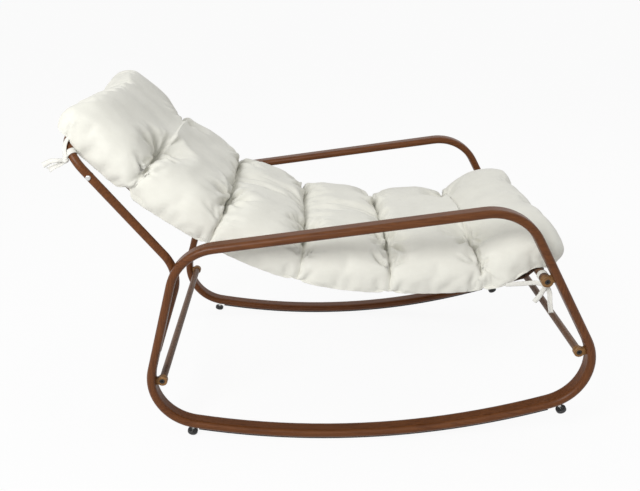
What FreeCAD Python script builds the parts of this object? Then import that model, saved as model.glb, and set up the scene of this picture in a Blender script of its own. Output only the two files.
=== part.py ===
import FreeCAD, Part
import os
import re
from math import acos, atan2, cos, pi, radians, sin, sqrt, tan
import Sketcher

Vector = FreeCAD.Vector
Placement = FreeCAD.Placement
Rotation = FreeCAD.Rotation
Constraint = Sketcher.Constraint

# A rocking chaise lounge. X runs along it from the head end to the foot end, Y from the
# sitter's right to the left, Z up. The origin is the lowest point of the rockers.

SIZES = {
    # side loops: flat-oval steel tube, bent into one closed loop each
    "loop_spacing": 630.0,
    "tube_width": 40.0,
    "tube_depth": 20.0,
    "tube_wall": 1.5,
    "bend_radius": 122.5,
    "rocker_radius": 1830.0,
    "leg_gauge_height": 300.0,
    "rear_leg_x": 375.4,
    "rear_leg_lean": 13.85,
    "front_leg_x": 612.4,
    "front_leg_lean": 28.6,
    "arm_height": 538.5,
    "arm_rise": 8.1,
    # rubber strip under each rocker
    "strip_thickness": 4.0,
    "strip_width": 24.0,
    "strip_rear_x": 296.0,
    "strip_front_x": 553.0,
    # back uprights: round tube beside the rear legs, bent back to carry the head rail
    "upright_diameter": 20.0,
    "upright_wall": 1.5,
    "upright_gap": 0.3,
    "upright_foot_height": 222.0,
    "upright_lean": 17.0,
    "upright_lower_run": 164.0,
    "upright_bend_radius": 100.0,
    "back_angle": 39.4,
    "upright_upper_run": 264.0,
    "plug_flange": 2.0,
    "plug_depth": 14.0,
    # head rail: a shallow U whose spigots slide into the uprights
    "head_rail_reach": 78.0,
    "head_rail_bend": 75.0,
    "spigot_length": 50.0,
    "spigot_clearance": 0.1,
    "shoulder_length": 3.0,
    "head_bolt_offset": 16.0,
    "head_bolt_diameter": 6.0,
    "head_bolt_clearance": 0.2,
    "head_bolt_cap": 12.0,
    "head_bolt_cap_height": 3.5,
    "cap_nut_width": 10.0,
    "cap_nut_height": 8.0,
    "cap_nut_rounding": 2.9,
    "head_bolt_rounding": 2.4,
    # cross tubes and the lugs that carry them
    "crossbar_diameter": 18.0,
    "crossbar_wall": 1.2,
    "seat_rail_diameter": 22.0,
    "seat_rail_wall": 1.5,
    "lug_offset": 24.0,
    "lug_diameter": 25.0,
    "seat_lug_diameter": 27.5,
    "lug_thickness": 12.0,
    "lug_neck": 16.0,
    "lug_chamfer": 1.0,
    "weld_gap": 0.05,
    "rear_lug_height": 151.7,
    "front_lug_height": 236.2,
    "seat_lug_height": 419.8,
    # socket bolts and threaded inserts
    "bolt_diameter": 8.0,
    "bolt_clearance": 0.2,
    "bolt_grip": 24.0,
    "bolt_head": 13.0,
    "bolt_head_height": 5.0,
    "bolt_head_chamfer": 0.5,
    "socket_width": 5.0,
    "socket_depth": 3.0,
    "counterbore_clearance": 0.2,
    "counterbore_depth": 6.0,
    "insert_length": 20.0,
    "fit_clearance": 0.05,
    # screw-in feet that limit the rock
    "foot_angle_rear": 11.3,
    "foot_angle_front": 27.1,
    "foot_reach_rear": 29.0,
    "foot_reach_front": 32.5,
    "foot_pad_diameter": 25.0,
    "foot_pad_height": 8.0,
    "foot_pad_rounding": 1.6,
    "foot_stem_diameter": 8.0,
    "foot_stem_entry": 7.0,
    "foot_stem_chamfer": 0.8,
    "foot_insert_diameter": 11.0,
    "foot_insert_length": 11.0,
    "foot_flange_diameter": 15.0,
    "foot_flange_thickness": 1.2,
    # sling: one cloth panel, sewn round the head rail and the seat rail
    "sling_width": 500.0,
    "sling_thickness": 2.4,
    "sling_head_width": 410.0,
    "sling_taper": 80.0,
    "sleeve_gap": 0.3,
    "lumbar_x": 320.0,
    "lumbar_height": 519.0,
    "hip_height": 381.0,
    "seat_x": 200.0,
    "seat_height": 363.0,
    "thigh_x": 400.0,
    "thigh_height": 375.0,
    # cushion: channelled pad that lies on the sling
    "cushion_width": 520.0,
    "cushion_thickness": 112.0,
    "channel_thickness": 74.0,
    "channel_draw_in": 12.0,
    "cushion_end_thickness": 46.0,
    "front_cell_thickness": 80.0,
    "cushion_gap": 0.3,
    "cushion_head_overhang": 50.0,
    "cushion_front_overhang": 72.0,
    "cushion_front_droop": 34.0,
    "cushion_front_slope": 38.0,
    "cushion_crest_slope": 2.0,
    "cushion_crest_gap": 1.5,
    # cloth ties that hold the cushion
    "tie_width": 13.0,
    "tie_thickness": 1.2,
    "tie_gap": 0.3,
    "tie_tail": 62.0,
    "tie_knot_radius": 5.5,
    "tie_twist": 12.0,
    "head_tie_swing": 35.0,
}
SIDES = {"right": -1, "left": 1}

# The cushion: its cells, the places of the sections in a cell as shares of the cell's length, and
# the cross-section's heights and insets as shares of its thickness
CUSHION_CELLS = 6
CELL_STEPS = (0.0, 0.07, 0.22, 0.5, 0.78, 0.93)
FRONT_CELL_STEPS = tuple(number / 14 for number in range(14))
FOOT_INSET = 0.42
LOWER_SIDE = (0.10, 0.13)
SIDE_HEIGHT = 0.40
UPPER_SIDE = (0.08, 0.68)
SHOULDER = (0.34, 0.84)
CROWN_DROP = 0.04

# The tails of a tie, in degrees from hanging straight down
TAIL_TILTS = {"head": (58, 20), "front": (40, -8)}

doc = FreeCAD.newDocument("rocking_chaise_lounge")
sheet = doc.addObject("Spreadsheet::Sheet", "sizes")
for row, (alias, value) in enumerate(SIZES.items(), start=1):
    sheet.set(f"A{row}", alias)
    sheet.set(f"B{row}", str(value))
    sheet.setAlias(f"B{row}", alias)
doc.recompute()


def size(alias):
    """The sheet's value of one named size."""
    return float(sheet.get(alias))


def bound(text):
    """An expression on the sheet: every known alias in the text gets its prefix."""
    return re.sub(r"[a-z_]+", lambda word: "sizes." + word[0] if word[0] in SIZES else word[0], text)


# Bodies, sketches and features

def new_body(label):
    body = doc.addObject("PartDesign::Body", label)
    body.Label = label
    return body


def origin_plane(body, role):
    return next(item for item in body.Origin.OriginFeatures if item.Role == role)


def new_sketch(body, role, name):
    sketch = body.newObject("Sketcher::SketchObject", name)
    sketch.AttachmentSupport = [(origin_plane(body, role), "")]
    sketch.MapMode = "FlatFace"
    return sketch


def bind(sketch, kind, *arguments, text, unit=""):
    """Add a constraint whose value is an expression on the sheet."""
    number = sketch.addConstraint(Constraint(kind, *arguments))
    expression = bound(text)
    sketch.setExpression(f"Constraints[{number}]", f"({expression}) * 1 {unit}" if unit else expression)


def circle(sketch, centre, radius_text, radius, x_text=None, y_text=None):
    """A circle with a bound radius, its centre at the origin or at two bound distances."""
    index = sketch.addGeometry(Part.Circle(centre, Vector(0, 0, 1), radius), False)
    bind(sketch, "Radius", index, radius, text=radius_text)
    if x_text is None and y_text is None:
        sketch.addConstraint(Constraint("Coincident", index, 3, -1, 1))
        return index
    if x_text is None:
        sketch.addConstraint(Constraint("PointOnObject", index, 3, -2))
    else:
        bind(sketch, "DistanceX", -1, 1, index, 3, centre.x, text=x_text)
    if y_text is None:
        sketch.addConstraint(Constraint("PointOnObject", index, 3, -1))
    else:
        bind(sketch, "DistanceY", -1, 1, index, 3, centre.y, text=y_text)
    return index


def arc(centre, radius, start, end):
    """An arc of a circle in a sketch's plane, between two angles."""
    return Part.ArcOfCircle(Part.Circle(centre, Vector(0, 0, 1), radius), start, end)


def pad(body, sketch, name, text, reverse=False, middle=False):
    feature = body.newObject("PartDesign::Pad", name)
    feature.Profile = sketch
    feature.setExpression("Length", bound(text))
    feature.Reversed = reverse
    if middle:
        feature.SideType = "Symmetric"
    return feature


def pocket(body, sketch, name, text=None, reverse=False, middle=False):
    feature = body.newObject("PartDesign::Pocket", name)
    feature.Profile = sketch
    feature.Reversed = reverse
    if text is None:
        feature.Type = "ThroughAll"
    else:
        feature.setExpression("Length", bound(text))
    if middle:
        feature.SideType = "Symmetric"
    return feature


def pipe(body, kind, name, profile, path, edges):
    feature = body.newObject("PartDesign::" + kind, name)
    feature.Profile = profile
    feature.Spine = (path, [f"Edge{number + 1}" for number in range(edges)])
    return feature


def soften(body, base, name, kind, alias, chosen):
    """A fillet or chamfer of a named size, on the edges of the last feature that the test picks."""
    doc.recompute()
    edges = [f"Edge{number + 1}" for number, edge in enumerate(base.Shape.Edges) if chosen(edge)]
    feature = body.newObject("PartDesign::" + kind, name)
    feature.Base = (base, edges)
    feature.setExpression("Radius" if kind == "Fillet" else "Size", bound(alias))
    return feature


def is_rim(edge, radius, height):
    """True for a full circle of this radius that lies level at this height."""
    if not isinstance(edge.Curve, Part.Circle):
        return False
    return abs(edge.Curve.Radius - radius) < 1e-4 and abs(edge.CenterOfMass.z - height) < 1e-4


def group(label, members):
    """One node that holds several like pieces as separate solids."""
    compound = doc.addObject("Part::Compound", label)
    compound.Label = label
    compound.Links = members
    return compound


def frame_at(point, x_axis, z_axis):
    """A placement whose local X and Z axes point along two given directions."""
    y_axis = z_axis.cross(x_axis)
    return Placement(point, Rotation(x_axis, y_axis, z_axis, "ZXY"))


def in_side_view(point, y=0.0):
    """A point of the side view, held as (X, Z), put at a distance across."""
    return Vector(point.x, y, point.y)


# The side loop's centre line, in the side view: x is X and y is Z

def heading(angle):
    return Vector(cos(angle), sin(angle), 0)


def angle_of(direction):
    return atan2(direction.y, direction.x)


def loop_line():
    """Centres of the four bends and the directions that point out of the three straight sides."""
    radius = size("bend_radius")
    rocker = size("rocker_radius")
    gauge = size("leg_gauge_height")
    rocker_centre = Vector(0, size("strip_thickness") + size("tube_depth") / 2 + rocker, 0)
    rear_lean = radians(size("rear_leg_lean"))
    front_lean = radians(size("front_leg_lean"))
    rise = radians(size("arm_rise"))
    rear = (Vector(-size("rear_leg_x"), gauge, 0), heading(pi / 2 - rear_lean), heading(pi - rear_lean))
    front = (Vector(size("front_leg_x"), gauge, 0), heading(pi / 2 + front_lean), heading(front_lean))
    arm = (Vector(0, size("arm_height"), 0), heading(rise), heading(pi / 2 + rise))

    def on_rocker(side):
        point, along, out = side
        start = point - out * radius - rocker_centre
        slope = start.dot(along)
        reach = sqrt(slope ** 2 - start.dot(start) + (rocker - radius) ** 2)
        return point - out * radius - along * (slope + reach)

    def between(one, other):
        first = one[0].dot(one[2]) - radius
        second = other[0].dot(other[2]) - radius
        scale = one[2].x * other[2].y - one[2].y * other[2].x
        x = (first * other[2].y - one[2].y * second) / scale
        y = (one[2].x * second - first * other[2].x) / scale
        return Vector(x, y, 0)

    return {
        "rocker": rocker_centre,
        "rear_low": on_rocker(rear),
        "front_low": on_rocker(front),
        "front_top": between(front, arm),
        "rear_top": between(rear, arm),
        "rear_out": rear[2],
        "front_out": front[2],
        "arm_out": arm[2],
    }


LOOP = loop_line()


def side_loop(label, side):
    """A closed loop of flat-oval tube: rocker, front leg, armrest and rear leg in one run."""
    radius = size("bend_radius")
    rocker = size("rocker_radius")
    centre = LOOP["rocker"]
    rear_low, front_low = LOOP["rear_low"], LOOP["front_low"]
    front_top, rear_top = LOOP["front_top"], LOOP["rear_top"]
    rear_out, front_out, arm_out = LOOP["rear_out"], LOOP["front_out"], LOOP["arm_out"]
    to_rear = angle_of(rear_low - centre)
    to_front = angle_of(front_low - centre)

    body = new_body(label)
    path = new_sketch(body, "XZ_Plane", label + "_centre_line")
    pieces = [
        arc(centre, rocker, to_rear, to_front),
        arc(front_low, radius, to_front, angle_of(front_out)),
        Part.LineSegment(front_low + front_out * radius, front_top + front_out * radius),
        arc(front_top, radius, angle_of(front_out), angle_of(arm_out)),
        Part.LineSegment(front_top + arm_out * radius, rear_top + arm_out * radius),
        arc(rear_top, radius, angle_of(arm_out), angle_of(rear_out)),
        Part.LineSegment(rear_top + rear_out * radius, rear_low + rear_out * radius),
        arc(rear_low, radius, angle_of(rear_out), to_rear + 2 * pi),
    ]
    for piece in pieces:
        path.addGeometry(piece, False)
    for number in range(len(pieces)):
        path.addConstraint(Constraint("Tangent", number, 2, (number + 1) % len(pieces), 1))
    bind(path, "Radius", 0, rocker, text="rocker_radius")
    path.addConstraint(Constraint("PointOnObject", 0, 3, -2))
    bind(path, "DistanceY", -1, 1, 0, 3, centre.y,
         text="strip_thickness + tube_depth / 2 + rocker_radius")
    for number in (1, 3, 5, 7):
        bind(path, "Radius", number, radius, text="bend_radius")
    gauges = [
        (6, "-rear_leg_x", -size("rear_leg_x"), "leg_gauge_height", size("leg_gauge_height")),
        (2, "front_leg_x", size("front_leg_x"), "leg_gauge_height", size("leg_gauge_height")),
        (4, None, 0.0, "arm_height", size("arm_height")),
    ]
    for line, x_text, x, y_text, y in gauges:
        mark = path.addGeometry(Part.Point(Vector(x, y, 0)), True)
        path.addConstraint(Constraint("PointOnObject", mark, 1, line))
        if x_text is None:
            path.addConstraint(Constraint("PointOnObject", mark, 1, -2))
        else:
            bind(path, "DistanceX", -1, 1, mark, 1, x, text=x_text.replace("-", "0 - "))
        bind(path, "DistanceY", -1, 1, mark, 1, y, text=y_text)
    turns = [
        (2, "90 + front_leg_lean", pi / 2 + radians(size("front_leg_lean"))),
        (4, "180 + arm_rise", pi + radians(size("arm_rise"))),
        (6, "270 - rear_leg_lean", 1.5 * pi - radians(size("rear_leg_lean"))),
    ]
    for line, text, value in turns:
        bind(path, "Angle", line, value, text=text, unit="deg")

    def section(name, inset):
        """A flat oval at the rocker's lowest point, smaller all round by the inset."""
        sketch = new_sketch(body, "YZ_Plane", name)
        half = (size("tube_width") - size("tube_depth")) / 2
        round_end = size("tube_depth") / 2 - inset
        height = size("strip_thickness") + size("tube_depth") / 2
        ends = [Vector(half, height, 0), Vector(-half, height, 0)]
        up = Vector(0, round_end, 0)
        outline = [
            Part.LineSegment(ends[1] - up, ends[0] - up),
            arc(ends[0], round_end, -pi / 2, pi / 2),
            Part.LineSegment(ends[0] + up, ends[1] + up),
            arc(ends[1], round_end, pi / 2, 1.5 * pi),
        ]
        for piece in outline:
            sketch.addGeometry(piece, False)
        for number in range(4):
            sketch.addConstraint(Constraint("Tangent", number, 2, (number + 1) % 4, 1))
        wall = " - tube_wall" if inset else ""
        for number, sign in ((1, ""), (3, "0 - ")):
            bind(sketch, "Radius", number, round_end, text="tube_depth / 2" + wall)
            bind(sketch, "DistanceX", -1, 1, number, 3, half if number == 1 else -half,
                 text=sign + "( tube_width - tube_depth ) / 2")
            bind(sketch, "DistanceY", -1, 1, number, 3, height, text="strip_thickness + tube_depth / 2")
        return sketch

    doc.recompute()
    outer = section(label + "_section", 0.0)
    pipe(body, "AdditivePipe", label + "_tube", outer, path, len(pieces))
    inner = section(label + "_hollow", size("tube_wall"))
    pipe(body, "SubtractivePipe", label + "_bore", inner, path, len(pieces))
    doc.recompute()
    for place in ("rear", "front"):
        hole = foot_hole(body, label, place)
        pocket(body, hole, f"{label}_{place}_hole", "strip_thickness + tube_depth / 2", reverse=True)
    body.Placement = Placement(Vector(0, side * size("loop_spacing") / 2, 0), Rotation())
    body.setExpression("Placement.Base.y", bound(f"{side} * loop_spacing / 2"))
    return body


def foot_axis(place):
    """The foot's point on the loop's centre line and the direction in which it points down."""
    middle = LOOP[f"{place}_low"]
    tilt = radians(size(f"foot_angle_{place}"))
    away = Vector(sin(tilt) if place == "front" else -sin(tilt), -cos(tilt), 0)
    return middle + away * size("bend_radius"), away


def foot_hole(body, label, place):
    """A sketch under the tube, square to the foot's axis, with the hole for its threaded insert."""
    point, away = foot_axis(place)
    sketch = body.newObject("Sketcher::SketchObject", f"{label}_{place}_hole_outline")
    sketch.AttachmentSupport = [(origin_plane(body, "XY_Plane"), "")]
    sketch.MapMode = "FlatFace"
    start = in_side_view(point + away * (size("tube_depth") / 2 + size("strip_thickness")))
    sketch.AttachmentOffset = frame_at(start, Vector(0, 1, 0), in_side_view(away * -1))
    radius = size("foot_insert_diameter") / 2 + size("fit_clearance")
    circle(sketch, Vector(0, 0, 0), "foot_insert_diameter / 2 + fit_clearance", radius)
    return sketch


def rocker_strip(label, side):
    """A rubber strip bent along the underside of one rocker."""
    body = new_body(label)
    outline = new_sketch(body, "XZ_Plane", label + "_outline")
    centre = LOOP["rocker"]
    inner = size("rocker_radius") + size("tube_depth") / 2
    outer = inner + size("strip_thickness")
    start = -pi / 2 - acos(sqrt(1 - (size("strip_rear_x") / outer) ** 2))
    end = -pi / 2 + acos(sqrt(1 - (size("strip_front_x") / outer) ** 2))
    rear, front = heading(start), heading(end)
    outline.addGeometry(arc(centre, outer, start, end), False)
    outline.addGeometry(Part.LineSegment(centre + front * outer, centre + front * inner), False)
    outline.addGeometry(arc(centre, inner, start, end), False)
    outline.addGeometry(Part.LineSegment(centre + rear * inner, centre + rear * outer), False)
    for one, one_end, other, other_end in ((0, 2, 1, 1), (1, 2, 2, 2), (2, 1, 3, 1), (3, 2, 0, 1)):
        outline.addConstraint(Constraint("Coincident", one, one_end, other, other_end))
    outline.addConstraint(Constraint("Coincident", 0, 3, 2, 3))
    outline.addConstraint(Constraint("PointOnObject", 0, 3, -2))
    outline.addConstraint(Constraint("PointOnObject", 0, 3, 1))
    outline.addConstraint(Constraint("PointOnObject", 0, 3, 3))
    bind(outline, "Radius", 0, outer, text="rocker_radius + tube_depth / 2 + strip_thickness")
    bind(outline, "Radius", 2, inner, text="rocker_radius + tube_depth / 2")
    bind(outline, "DistanceY", -1, 1, 0, 3, centre.y,
         text="strip_thickness + tube_depth / 2 + rocker_radius")
    bind(outline, "DistanceX", -1, 1, 0, 1, -size("strip_rear_x"), text="0 - strip_rear_x")
    bind(outline, "DistanceX", -1, 1, 0, 2, size("strip_front_x"), text="strip_front_x")
    pad(body, outline, label + "_rubber", "strip_width", middle=True)
    body.Placement = Placement(Vector(0, side * size("loop_spacing") / 2, 0), Rotation())
    body.setExpression("Placement.Base.y", bound(f"{side} * loop_spacing / 2"))
    return body


# The back: two bent uprights and a head rail that plugs into them

UPRIGHT_Y = (size("loop_spacing") - size("tube_width") - size("upright_diameter")) / 2 - size("upright_gap")


def upright_foot():
    """Where the upright's lower end lies on the rear leg's centre line, in the side view."""
    height = size("upright_foot_height")
    rise = height - size("leg_gauge_height")
    return Vector(-size("rear_leg_x") + rise * tan(radians(size("rear_leg_lean"))), height, 0)


def upright_chain():
    """The upright's top end and the direction of the back, in the side view."""
    lean = radians(size("upright_lean"))
    back = radians(size("back_angle"))
    radius = size("upright_bend_radius")
    up = heading(pi / 2 - lean)
    along_back = heading(pi / 2 + back)
    bend_start = upright_foot() + up * size("upright_lower_run")
    bend_centre = bend_start + heading(pi - lean) * radius
    bend_end = bend_centre + heading(back) * radius
    return bend_end + along_back * size("upright_upper_run"), along_back


BACK_TOP, BACK_ALONG = upright_chain()
BACK_OUT = Vector(BACK_ALONG.y, -BACK_ALONG.x, 0)
HEAD_BOLT = BACK_TOP - BACK_ALONG * size("head_bolt_offset")
HEAD_RAIL = BACK_TOP + BACK_ALONG * size("head_rail_reach")


def upright_frame(side):
    """A placement at the upright's lower end, Z pointing up the tube."""
    lean = radians(size("upright_lean"))
    foot = in_side_view(upright_foot(), side * UPRIGHT_Y)
    return frame_at(foot, Vector(cos(lean), 0, -sin(lean)), Vector(sin(lean), 0, cos(lean)))


def back_upright(label, side):
    """A round tube from the rear leg up to the head rail, with one bend."""
    body = new_body(label)
    path = new_sketch(body, "XZ_Plane", label + "_centre_line")
    turn = radians(size("upright_lean") + size("back_angle"))
    radius = size("upright_bend_radius")
    lower = Vector(0, size("upright_lower_run"), 0)
    centre = lower - Vector(radius, 0, 0)
    bend_end = centre + heading(turn) * radius
    top = bend_end + heading(pi / 2 + turn) * size("upright_upper_run")
    path.addGeometry(Part.LineSegment(Vector(0, 0, 0), lower), False)
    path.addGeometry(arc(centre, radius, 0, turn), False)
    path.addGeometry(Part.LineSegment(bend_end, top), False)
    path.addConstraint(Constraint("Coincident", 0, 1, -1, 1))
    path.addConstraint(Constraint("Vertical", 0))
    path.addConstraint(Constraint("Tangent", 0, 2, 1, 1))
    path.addConstraint(Constraint("Tangent", 1, 2, 2, 1))
    bind(path, "Distance", 0, size("upright_lower_run"), text="upright_lower_run")
    bind(path, "Radius", 1, radius, text="upright_bend_radius")
    bind(path, "Distance", 2, size("upright_upper_run"), text="upright_upper_run")
    bind(path, "Angle", 2, pi / 2 + turn, text="90 + upright_lean + back_angle", unit="deg")
    outer = size("upright_diameter") / 2
    rings = {}
    for name, text, value in (
        ("section", "upright_diameter / 2", outer),
        ("hollow", "upright_diameter / 2 - upright_wall", outer - size("upright_wall")),
    ):
        rings[name] = new_sketch(body, "XY_Plane", f"{label}_{name}")
        circle(rings[name], Vector(0, 0, 0), text, value)
    doc.recompute()
    pipe(body, "AdditivePipe", label + "_tube", rings["section"], path, 3)
    pipe(body, "SubtractivePipe", label + "_bore", rings["hollow"], path, 3)
    doc.recompute()
    hole = new_sketch(body, "XZ_Plane", label + "_bolt_hole_outline")
    angle = "( upright_lean + back_angle ) * 1 deg"
    run = "( upright_upper_run - head_bolt_offset )"
    at = top - heading(pi / 2 + turn) * size("head_bolt_offset")
    circle(
        hole, at, "head_bolt_diameter / 2 + head_bolt_clearance",
        size("head_bolt_diameter") / 2 + size("head_bolt_clearance"),
        x_text=f"0 - upright_bend_radius * ( 1 - cos({angle}) ) - {run} * sin({angle})",
        y_text=f"upright_lower_run + upright_bend_radius * sin({angle}) + {run} * cos({angle})",
    )
    pocket(body, hole, label + "_bolt_hole", middle=True)
    body.Placement = upright_frame(side)
    return body


def head_rail(label):
    """A shallow U of round tube with a reduced spigot at each end."""
    body = new_body(label)
    path = new_sketch(body, "XY_Plane", label + "_centre_line")
    bend = size("head_rail_bend")
    reach = size("head_rail_reach")
    half = UPRIGHT_Y
    half_text = "( loop_spacing / 2 - tube_width / 2 - upright_gap - upright_diameter / 2 )"
    corners = [Vector(half - bend, reach - bend, 0), Vector(bend - half, reach - bend, 0)]
    path.addGeometry(Part.LineSegment(Vector(half, 0, 0), Vector(half, reach - bend, 0)), False)
    path.addGeometry(arc(corners[0], bend, 0, pi / 2), False)
    path.addGeometry(Part.LineSegment(Vector(half - bend, reach, 0), Vector(bend - half, reach, 0)), False)
    path.addGeometry(arc(corners[1], bend, pi / 2, pi), False)
    path.addGeometry(Part.LineSegment(Vector(-half, reach - bend, 0), Vector(-half, 0, 0)), False)
    for number in range(4):
        path.addConstraint(Constraint("Tangent", number, 2, number + 1, 1))
    path.addConstraint(Constraint("Vertical", 0))
    path.addConstraint(Constraint("Horizontal", 2))
    path.addConstraint(Constraint("Vertical", 4))
    path.addConstraint(Constraint("PointOnObject", 0, 1, -1))
    path.addConstraint(Constraint("PointOnObject", 4, 2, -1))
    bind(path, "DistanceX", -1, 1, 0, 1, half, text=half_text)
    bind(path, "DistanceX", -1, 1, 4, 2, -half, text="0 - " + half_text)
    bind(path, "DistanceY", -1, 1, 2, 1, reach, text="head_rail_reach")
    bind(path, "Radius", 1, bend, text="head_rail_bend")
    bind(path, "Radius", 3, bend, text="head_rail_bend")

    outer = size("upright_diameter") / 2
    bore = outer - size("upright_wall")
    spigot = bore - size("spigot_clearance")
    outer_text = "upright_diameter / 2"
    bore_text = "upright_diameter / 2 - upright_wall"
    spigot_text = bore_text + " - spigot_clearance"
    core_text = spigot_text + " - upright_wall"

    def rings(name, radii, sides):
        sketch = new_sketch(body, "XZ_Plane", f"{label}_{name}")
        for sign in sides:
            for value, text in radii:
                x_text = half_text if sign > 0 else "0 - " + half_text
                circle(sketch, Vector(sign * half, 0, 0), text, value, x_text=x_text)
        return sketch

    core = spigot - size("upright_wall")
    doc.recompute()
    pipe(body, "AdditivePipe", label + "_tube", rings("section", [(outer, outer_text)], (1,)), path, 5)
    pipe(body, "SubtractivePipe", label + "_bore", rings("hollow", [(bore, bore_text)], (1,)), path, 5)
    ledge = rings("shoulder_outline", [(outer, outer_text), (core, core_text)], (1, -1))
    pad(body, ledge, label + "_shoulder", "shoulder_length", reverse=True)
    neck = rings("spigot_outline", [(spigot, spigot_text), (core, core_text)], (1, -1))
    pad(body, neck, label + "_spigots", "spigot_length")
    doc.recompute()
    hole = new_sketch(body, "YZ_Plane", label + "_bolt_hole_outline")
    at = Vector(-size("head_bolt_offset"), 0, 0)
    radius = size("head_bolt_diameter") / 2 + size("head_bolt_clearance")
    circle(hole, at, "head_bolt_diameter / 2 + head_bolt_clearance", radius, x_text="0 - head_bolt_offset")
    pocket(body, hole, label + "_bolt_hole", middle=True)
    along = in_side_view(BACK_ALONG)
    body.Placement = frame_at(in_side_view(BACK_TOP), Vector(0, 1, 0), Vector(0, 1, 0).cross(along))
    return body


def head_bolt(name, side):
    """A domed bolt, pushed through from the outer side."""
    body = new_body(name)
    shank = new_sketch(body, "XY_Plane", name + "_shank_outline")
    circle(shank, Vector(0, 0, 0), "head_bolt_diameter / 2", size("head_bolt_diameter") / 2)
    grip = "upright_diameter + 2 * weld_gap + cap_nut_height / 2"
    pad(body, shank, name + "_shank", grip, reverse=True)
    cap = new_sketch(body, "XY_Plane", name + "_cap_outline")
    circle(cap, Vector(0, 0, 0), "head_bolt_cap / 2", size("head_bolt_cap") / 2)
    head = pad(body, cap, name + "_cap", "head_bolt_cap_height")
    radius, height = size("head_bolt_cap") / 2, size("head_bolt_cap_height")
    soften(body, head, name + "_dome", "Fillet", "head_bolt_rounding",
           lambda edge: is_rim(edge, radius, height))
    out = Vector(0, side, 0)
    reach = UPRIGHT_Y + size("upright_diameter") / 2 + size("weld_gap")
    body.Placement = frame_at(in_side_view(HEAD_BOLT, side * reach), in_side_view(BACK_ALONG), out)
    return body


def cap_nut(name, side):
    """A closed dome nut on the inner side of the upright."""
    body = new_body(name)
    outline = new_sketch(body, "XY_Plane", name + "_hexagon")
    flat = size("cap_nut_width") / 2
    hexagon(outline, flat, "cap_nut_width / 2")
    pad(body, outline, name + "_hex", "cap_nut_height / 2")
    dome = new_sketch(body, "XY_Plane", name + "_dome_outline")
    circle(dome, Vector(0, 0, 0), "cap_nut_width / 2 - weld_gap", flat - size("weld_gap"))
    top = pad(body, dome, name + "_dome", "cap_nut_height")
    radius, height = flat - size("weld_gap"), size("cap_nut_height")
    soften(body, top, name + "_rounding", "Fillet", "cap_nut_rounding",
           lambda edge: is_rim(edge, radius, height))
    doc.recompute()
    bore = new_sketch(body, "XY_Plane", name + "_bore_outline")
    circle(bore, Vector(0, 0, 0), "head_bolt_diameter / 2 + fit_clearance",
           size("head_bolt_diameter") / 2 + size("fit_clearance"))
    pocket(body, bore, name + "_bore", text="cap_nut_height / 2 + 2 * fit_clearance", reverse=True)
    inward = Vector(0, -side, 0)
    reach = UPRIGHT_Y - size("upright_diameter") / 2 - size("weld_gap")
    body.Placement = frame_at(in_side_view(HEAD_BOLT, side * reach), in_side_view(BACK_ALONG), inward)
    return body


def hexagon(sketch, flat, flat_text):
    """A regular hexagon about the sketch's origin, given by half its width across flats."""
    corner = flat / cos(pi / 6)
    points = [heading(number * pi / 3) * corner for number in range(6)]
    for number in range(6):
        sketch.addGeometry(Part.LineSegment(points[number], points[(number + 1) % 6]), False)
    ring = sketch.addGeometry(Part.Circle(Vector(0, 0, 0), Vector(0, 0, 1), corner), True)
    sketch.addConstraint(Constraint("Coincident", ring, 3, -1, 1))
    for number in range(6):
        sketch.addConstraint(Constraint("Coincident", number, 2, (number + 1) % 6, 1))
        sketch.addConstraint(Constraint("PointOnObject", number, 1, ring))
    for number in range(1, 6):
        sketch.addConstraint(Constraint("Equal", 0, number))
    sketch.addConstraint(Constraint("PointOnObject", 0, 1, -1))
    bind(sketch, "Radius", ring, corner, text=f"( {flat_text} ) / cos(30 deg)")


def end_plug(name, side):
    """A pressed-in cap that closes the upright's lower end."""
    body = new_body(name)
    flange = new_sketch(body, "XY_Plane", name + "_flange_outline")
    circle(flange, Vector(0, 0, 0), "upright_diameter / 2", size("upright_diameter") / 2)
    pad(body, flange, name + "_flange", "plug_flange", reverse=True)
    stub = new_sketch(body, "XY_Plane", name + "_stub_outline")
    circle(stub, Vector(0, 0, 0), "upright_diameter / 2 - upright_wall - fit_clearance",
           size("upright_diameter") / 2 - size("upright_wall") - size("fit_clearance"))
    pad(body, stub, name + "_stub", "plug_depth")
    body.Placement = upright_frame(side)
    return body


# Cross tubes, the lugs welded inside the loops, and what joins them

def lug_point(place):
    """A lug's axis in the side view and the direction in which the loop's tube lies from it."""
    height = size(f"{place}_lug_height")
    offset = size("lug_offset")
    radius = size("bend_radius") - offset
    middle = LOOP["rear_low"] if place == "rear" else LOOP["front_low"]
    out = LOOP["rear_out"] if place == "rear" else LOOP["front_out"]
    tangent = middle + out * radius
    if height < tangent.y:
        sideways = sqrt(radius ** 2 - (height - middle.y) ** 2)
        point = Vector(middle.x + (-sideways if place == "rear" else sideways), height, 0)
        return point, (point - middle) * (1 / radius), True
    along = Vector(-out.y, out.x, 0)
    return tangent + along * ((height - tangent.y) / along.y), out, False


LUGS = {place: lug_point(place) for place in ("rear", "front", "seat")}
LUG_FACE = size("loop_spacing") / 2


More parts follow.
